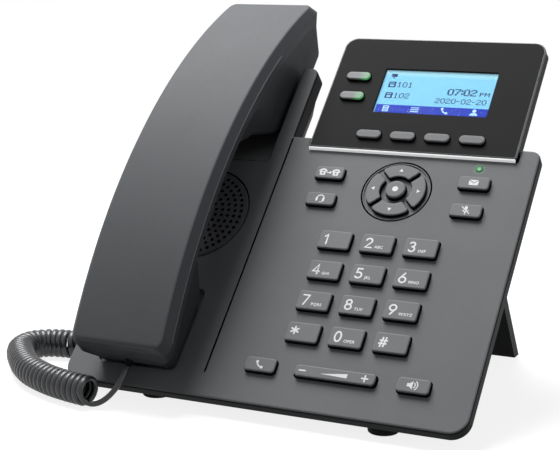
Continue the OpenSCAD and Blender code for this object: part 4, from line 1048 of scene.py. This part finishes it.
class PHONE_OT_marks(bpy.types.Operator):
    """Printed digits, letters and signs on the keys"""
    bl_idname = "phone.make_marks"
    bl_label = "Printed marks"

    def execute(self, context):
        tall, wide = 4.6, 4.6 * 1.06
        for i, name in enumerate(DIAL):
            x, y = DIAL_X[i % 3] - DIAL_SIZE[0] / 2, DIAL_Y[i // 3] - DIAL_SIZE[1] / 2
            form = Form(INK_Z, (x + 2.2, y + 2.1))
            for line in DIGITS[name]:
                form.stroke([(a * wide, b * tall) for a, b in line], 0.78)
            if name in LETTERS:
                self.letters(form, LETTERS[name], x + 6.6, y + 2.0, 1.35)
            self.ink(form, f"dial_mark_{name}", f"dial_key_{name}")
        self.signs()
        return {"FINISHED"}

    def letters(self, form, text, x, y, size):
        curve = bpy.data.curves.new("letters", "FONT")
        curve.body, curve.size, curve.space_character = text, size * 1.42, 1.08
        curve.resolution_u, curve.offset = 3, size * 0.035
        carrier = bpy.data.objects.new("letters", curve)
        bpy.context.scene.collection.objects.link(carrier)
        shape = bpy.data.meshes.new_from_object(carrier.evaluated_get(bpy.context.evaluated_depsgraph_get()))
        ids = form.ring([(x + v.co.x, y + v.co.y, INK_Z) for v in shape.vertices])
        for p in shape.polygons:
            form.face([ids[k] for k in p.vertices])
        bpy.data.objects.remove(carrier)
        bpy.data.meshes.remove(shape)
        bpy.data.curves.remove(curve)

    def ink(self, form, name, body):
        make_piece(name, form, ["key ink", "key plastic"], body, flat=True)

    def signs(self):
        """Signs on the function keys, arrows, middle key and rocker."""
        for name, at in FUNCTION.items():
            form = Form(INK_Z, at)
            getattr(self, name)(form)
            self.ink(form, name.replace("_key", "_sign"), name)
        for i, name in enumerate(ARROWS):
            form = Form(ARROW_INK_Z)
            form.patch(on_key_field([(11.35, 0.0), (9.75, 0.95), (9.75, -0.95)], i))
            self.ink(form, f"arrow_sign_{name}", f"arrow_key_{name}")
        form = Form(INK_Z)
        form.patch(circle(*NAV, 1.35, 24))
        self.ink(form, "ok_sign", "ok_key")
        form = Form(INK_Z, VOLUME)
        for line in ([(-15.4, 0), (-12.8, 0)], [(11.9, 0), (14.5, 0)], [(13.2, -1.3), (13.2, 1.3)]):
            form.stroke(line, 0.66)
        form.patch([(-6.2, -0.5), (5.6, -0.95), (5.6, 1.0)])
        self.ink(form, "volume_sign", "volume")

    def redial_key(self, form):
        handset_sign(form, -0.4, -0.2, 1.55)

    def speaker_key(self, form):
        form.patch([(-2.6, -0.75), (-1.5, -0.75), (-0.2, -1.9), (-0.2, 1.9), (-1.5, 0.75), (-2.6, 0.75)])
        for reach in (1.35, 2.35):
            form.stroke(arc(-0.5, 0, reach, -48, 48, 8), 0.46)

    def message_key(self, form):
        form.patch(round_rect(-2.1, 2.1, -1.4, 1.4, 0.5, 4))
        form.stroke([(-1.9, 1.15), (0, -0.25), (1.9, 1.15)], 0.32, 1)

    def mute_key(self, form):
        form.stroke([(0, 1.5), (0, 0.4)], 1.3)
        form.stroke(arc(0, 0.4, 1.25, 200, 340, 8), 0.42)
        form.stroke([(0, -0.9), (0, -2.0)], 0.46)
        form.stroke([(-1.9, 1.7), (1.7, -1.5)], 0.44)

    def headset_key(self, form):
        form.stroke(arc(0, 0, 1.75, 215, -35, 16), 0.5)
        for s in (-1, 1):
            form.stroke([(s * 1.6, 0.1), (s * 1.6, -1.0)], 1.0)
        form.stroke([(1.5, -1.3), (0.8, -1.9), (0.1, -1.9)], 0.36)

    def transfer_key(self, form):
        for x in (-3.1, 3.1):
            form.stroke(arc(x, -0.3, 1.75, 155, 25, 8), 0.8)
            form.patch(round_rect(x - 1.35, x + 1.35, -1.7, 0.45, 0.4, 3))
            form.patch(circle(x, -0.6, 0.5, 12), 1, 0.02)
        form.stroke([(-0.9, -0.2), (0.5, -0.2)], 0.5)
        form.patch([(1.2, -0.2), (0.2, 0.7), (0.2, -1.1)])


# ---- Handset ----

BACK_V, BACK_Z = 96.0, -224.6
BACK_R, JOINT_R, SIDE_R, KEEL_R = 260.0, 256.0, 250.5, 246.0
HALF, CORNER = 24.2, 4.5
MOUTH_END, EAR_END = 7.6, 210.6
EAR_ZONE, MOUTH_ZONE, END_ROOM = 180.0, 30.0, 5.5


def along_back(radius, v):
    return BACK_Z + math.sqrt(radius ** 2 - (v - BACK_V) ** 2)


def end_shift(z, ear):
    """Place of the handset's end wall at a height."""
    if ear:
        return between([(-14.2, 199.2), (-2.3, 206.2), (5.7, 210.6), (40.0, 206.5)], z)
    return between([(-1.7, 11.2), (11.0, 7.8), (20.9, 8.9), (40.0, 9.8)], z)


UNDERSIDE = [(7.6, -1.7), (45.0, -1.7), (49.0, 1.2), (62.0, 13.4), (66.0, 16.4), (70.0, 18.2), (80.0, 19.6),
             (96.0, 20.3), (108.0, 20.0), (114.0, 18.6), (119.0, 15.8), (128.0, 10.6), (134.0, 3.8),
             (148.0, -11.8), (151.5, -14.2), (210.0, -14.2)]
UNDER_WIDTH = [(7.6, 18.3), (45.0, 18.3), (56.0, 17.2), (68.0, 14.6), (112.0, 14.6), (124.0, 18.0),
               (138.0, 22.6), (210.0, 22.9)]


class PHONE_OT_handset(bpy.types.Operator):
    """The two shells of the handset and the light line between them"""
    bl_idname = "phone.make_handset"
    bl_label = "Handset"

    def execute(self, context):
        near_end = [0.0, 0.25, 0.6, 1.2, 2.0, 3.0, 4.2, END_ROOM]
        middle = [v for v in (14.0 + 3.0 * i for i in range(64)) if v < EAR_END - END_ROOM - 1]
        self.stations = ([("mouth", d) for d in near_end] + [("free", v) for v in middle]
                         + [("ear", d) for d in reversed(near_end)])
        self.back()
        self.inner()
        self.line()
        self.sound_holes()
        return {"FINISHED"}

    def plain_place(self, kind, d):
        return {"free": d, "ear": EAR_END - d, "mouth": MOUTH_END + d}[kind]

    def lost(self, kind, d, r):
        """How far a rounding of radius r takes the surface in, at a distance from the end."""
        if kind == "free" or d >= r:
            return 0.0
        return r - math.sqrt(max(r ** 2 - (r - d) ** 2, 0.0))

    def loft(self, form, section, numbers, end_finish=0):
        """Closed skin through the sections from the mouth end to the ear end."""
        last = None
        for kind, d in self.stations:
            half = section(kind, d)
            mirrored = [(-x, z, v) for x, z, v in reversed(half) if x > 1e-6]
            ring = form.ring([(CRADLE + x, v, z) for x, z, v in half + mirrored])
            if last:
                n, spans = len(ring), len(half) - 1
                for i in range(n):
                    k = i if i < spans else n - 1 - i
                    form.face((last[i], last[(i + 1) % n], ring[(i + 1) % n], ring[i]),
                              numbers[min(max(k, 0), len(numbers) - 1)])
            else:
                form.face(ring, end_finish)
            last = ring
        form.face(last, end_finish)

    def place(self, kind, d, z):
        """Place along the handset of a station at a height, as the end walls lean."""
        ear, mouth = end_shift(z, True), end_shift(z, False)
        if kind == "ear":
            return ear - d
        if kind == "mouth":
            return mouth + d
        return between([(MOUTH_END + END_ROOM, mouth + END_ROOM), (MOUTH_ZONE, MOUTH_ZONE),
                        (EAR_ZONE, EAR_ZONE), (EAR_END - END_ROOM, ear - END_ROOM)], d)

    def back(self):
        form = Form()
        profile = rounded([(0.0, 0.0), (21.4, 0.0), (HALF, 4.0), (HALF, 4.3)], [0, 1.6, 0.3, 0], 5, closed=False)

        def section(kind, d):
            out, share = [], 1 - self.lost(kind, d, CORNER) / HALF
            for x, drop in profile:
                radius = BACK_R - max(drop, self.lost(kind, d, 1.2))
                z = along_back(radius, min(max(self.plain_place(kind, d), 8.9), 208.0))
                v = self.place(kind, d, z)
                out.append((x * share, along_back(radius, v), v))
            return out

        # The bevel, side edge and end walls get the darker grey: painted shade on the back's own plastic.
        self.loft(form, section, [0] * 4 + [1] * 12, 1)
        make_piece("handset_back", form, ["handset plastic", "bevel plastic"], "handset",
                   ("handset_outer_shell",), sharp=28)

    def inner(self):
        form = Form()

        def section(kind, d):
            v = self.plain_place(kind, d)
            low, w = between(UNDERSIDE, v), between(UNDER_WIDTH, v)
            edge_v = self.place(kind, d, along_back(JOINT_R, v))
            split, side = along_back(JOINT_R, edge_v), along_back(SIDE_R, edge_v)
            keel = min(along_back(KEEL_R, edge_v), side - 2.0)
            points = rounded([(24.1, split - 0.05), (24.1, split - 0.5), (23.0, side),
                              (max(w, 16.0), max(keel, low + 1.5)), (w, low), (0.0, low)],
                             [0, 0.2, 2.5, 2.0, 2.6 if low < 12 else 1.4, 0], 4, closed=False, even=True)
            share, lift = 1 - self.lost(kind, d, CORNER) / HALF, self.lost(kind, d, 2.0)
            return [(x * share, z + (lift if z < low + 1.0 else 0.0), self.place(kind, d, z)) for x, z in points]

        self.loft(form, section, [0])
        make_piece("handset_inner", form, ["handset side plastic"], "handset",
                   ("handset_inner_shell",), sharp=34)

    def line(self):
        """Thin light line along the joint of the shells."""
        form = Form()
        for s in (-1, 1):
            last = None
            for v in [13.5 + 3.0 * i for i in range(52)]:
                z = along_back(JOINT_R, v)
                ring = form.ring([(CRADLE + s * (24.1 + a), v, z + b) for a, b in
                                  ((0.0, -0.3), (0.16, -0.2), (0.22, 0.0), (0.12, 0.25), (0.0, 0.3))])
                if last:
                    form.skin(last, ring, closed=False)
                last = ring
        make_piece("handset_joint_line", form, ["handset rim plastic"], "handset", smooth=False)

    def sound_holes(self):
        form = Form()
        places = at_height(circle(CRADLE, 176, 6, 6) + [(CRADLE, 176.0)], -14.2) + [(CRADLE, 30.0, -1.7)]
        for x, v, z in places:
            form.lathe((x, v), [(1.25, z + 0.05), (1.15, z - 0.04), (0.95, z - 0.06)], 20, 0)
            # Each hole's floor is near black: painted shade.
            form.patch(circle(x, v, 0.95, 20), 1, z - 0.05)
        make_piece("handset_sound_holes", form, ["handset side plastic", "hollow black"], "handset",
                   smooth=False)


# ---- Feet, stand and the rest of the frame ----

class PHONE_OT_feet(bpy.types.Operator):
    """Rubber feet under the front edge"""
    bl_idname = "phone.make_feet"
    bl_label = "Feet"

    def execute(self, context):
        form = Form()
        for at in ((53.0, 13.0), (-53.0, 16.5)):
            form.lathe(at, [(6.4, 4.05), (6.4, 0.9), (6.25, 0.4), (5.9, 0.1), (5.4, 0.0)], 48)
            form.patch(circle(*at, 5.4, 48))
        make_piece("front_feet", form, ["foot rubber"], "base", ("rubber_feet",), place=TABLE)
        return {"FINISHED"}


class PHONE_OT_frame(bpy.types.Operator):
    """Finishes of the solids that show as they are"""
    bl_idname = "phone.dress_frame"
    bl_label = "Frame finishes"

    def execute(self, context):
        plan = {
            "grille plastic": ["hook_switch"],
            "dark plastic": ["lower_housing", "stand", "network_jacks", "power_jack", "cord_jacks",
                             "handset_jack"],
            "driver metal": ["loudspeaker", "receiver"],
            "plain steel": ["housing_screws", "base_microphone", "handset_microphone", "handset_weight"],
            "circuit board": ["main_board", "display_board"],
            "mat rubber": ["key_mat"],
        }
        named = {n: f for f, nodes in plan.items() for n in nodes}
        for node, thing in frame["nodes"].items():
            thing.data.materials.clear()
            thing.data.materials.append(finish("dark plastic" if thing.hide_render else named[node]))
        return {"FINISHED"}


# ---- Stage ----

class PHONE_OT_stage(bpy.types.Operator):
    """Pale floor, soft lights and the camera"""
    bl_idname = "phone.make_stage"
    bl_label = "Stage"

    def execute(self, context):
        self.camera(context)
        self.floor(context)
        self.surroundings(context)
        self.lamps(context)
        context.scene.view_settings.view_transform = "Standard"
        return {"FINISHED"}

    def put(self, context, name, data):
        thing = bpy.data.objects.new(name, data)
        context.scene.collection.objects.link(thing)
        return thing

    def camera(self, context):
        lens = bpy.data.cameras.new("camera")
        frame_width, focal_length = 560, 1430
        lens.sensor_width = 36
        lens.lens = focal_length / frame_width * lens.sensor_width
        lens.clip_start, lens.clip_end = 0.01, 20
        ahead = Vector((-0.4209, 0.8869, -0.1906)).normalized()
        right = Vector((0.9034, 0.4287, 0.0))
        right = (right - ahead * right.dot(ahead)).normalized()
        turn = Matrix((right, right.cross(ahead), -ahead)).transposed().to_4x4()
        context.scene.camera = self.put(context, "camera", lens)
        context.scene.camera.matrix_world = Matrix.Translation((0.24923, -0.49678 + FRONT_Y, 0.18978)) @ turn

    def mix_seen(self, tree, hidden, seen):
        """One shader for light on the phone, and one for what the camera, gloss and glass show."""
        rays = add(tree, "LightPath").node.outputs
        shown = math_node(tree, "MAXIMUM", rays["Is Camera Ray"], rays["Is Glossy Ray"])
        shown = math_node(tree, "MAXIMUM", shown, rays["Is Transmission Ray"])
        return add(tree, "MixShader", shown, hidden, seen)

    def floor(self, context):
        mesh = bpy.data.meshes.new("floor")
        mesh.from_pydata([(x, y, 0) for x, y in box(-4, 4, -4, 4)], [], [(0, 1, 2, 3)])
        material = bpy.data.materials.new("floor")
        material.use_nodes = True
        tree = material.node_tree
        tree.nodes.clear()
        pale, thin = [add(tree, "BsdfDiffuse", Color=(grey, grey, grey, 1)) for grey in (0.2, 0.3)]
        near = add(tree, "AddShader", thin, add(tree, "Emission", Color=(1, 1, 1, 1), Strength=0.84))
        far = add(tree, "Emission", Color=(1, 1, 1, 1), Strength=1.0)
        gap = add(tree, "VectorMath", object_place(tree), operation="LENGTH", out="Value")
        away = remap(tree, gap, 0.28, 0.75, interpolation_type="SMOOTHSTEP")
        add(tree, "OutputMaterial", self.mix_seen(tree, pale, add(tree, "MixShader", away, near, far)))
        mesh.materials.append(material)
        self.put(context, "floor", mesh)

    def surroundings(self, context):
        world = context.scene.world = bpy.data.worlds.new("studio")
        world.use_nodes = True
        tree = world.node_tree
        tree.nodes.clear()
        height = add(tree, "SeparateXYZ", add(tree, "TexCoord", out="Generated"), out="Z")
        overhead = add(tree, "MapRange", height, From_Min=-0.1, To_Min=0.04, To_Max=0.24)
        soft = add(tree, "Background", Color=(0.94, 0.97, 1.0, 1), Strength=overhead)
        white = add(tree, "Background", Color=(1, 1, 1, 1), Strength=1.0)
        add(tree, "OutputWorld", self.mix_seen(tree, soft, white))

    def lamps(self, context):
        for name, at, size, power in (("sky panel", (-0.50, 0.27, 1.35), 0.9, 30.0),
                                      ("right panel", (1.3, 0.25, 0.22), 0.7, 4.0)):
            light = bpy.data.lights.new(name, "AREA")
            light.shape, light.size, light.energy = "DISK", size, power
            holder = self.put(context, name, light)
            holder.location = at
            holder.rotation_euler = (Vector((0, 0, 0.07)) - Vector(at)).to_track_quat("-Z", "Y").to_euler()


STEPS = (PHONE_OT_stage, PHONE_OT_cord, PHONE_OT_face, PHONE_OT_screen, PHONE_OT_keys, PHONE_OT_marks,
         PHONE_OT_handset, PHONE_OT_feet, PHONE_OT_frame)


class PHONE_PT_panel(bpy.types.Panel):
    bl_idname = "PHONE_PT_panel"
    bl_label = "Desk Phone"
    bl_space_type = "VIEW_3D"
    bl_region_type = "UI"
    bl_category = "Desk Phone"

    def draw(self, context):
        for group in (context.scene.phone_sizes, context.scene.phone_colours):
            for name in group.__annotations__:
                self.layout.prop(group, name)
        for step in STEPS:
            self.layout.operator(step.bl_idname)


CLASSES = (PhoneSizes, PhoneColours, *STEPS, PHONE_PT_panel)


def register():
    for c in CLASSES:
        bpy.utils.register_class(c)
    bpy.types.Scene.phone_sizes = PointerProperty(type=PhoneSizes)
    bpy.types.Scene.phone_colours = PointerProperty(type=PhoneColours)


def unregister():
    del bpy.types.Scene.phone_sizes
    del bpy.types.Scene.phone_colours
    for c in reversed(CLASSES):
        bpy.utils.unregister_class(c)


def main():
    register()
    for step in STEPS:
        area, name = step.bl_idname.split(".")
        if getattr(getattr(bpy.ops, area), name)() != {"FINISHED"}:
            raise RuntimeError(step.bl_label + " could not be made")
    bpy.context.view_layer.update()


if __name__ == "__main__":
    main()
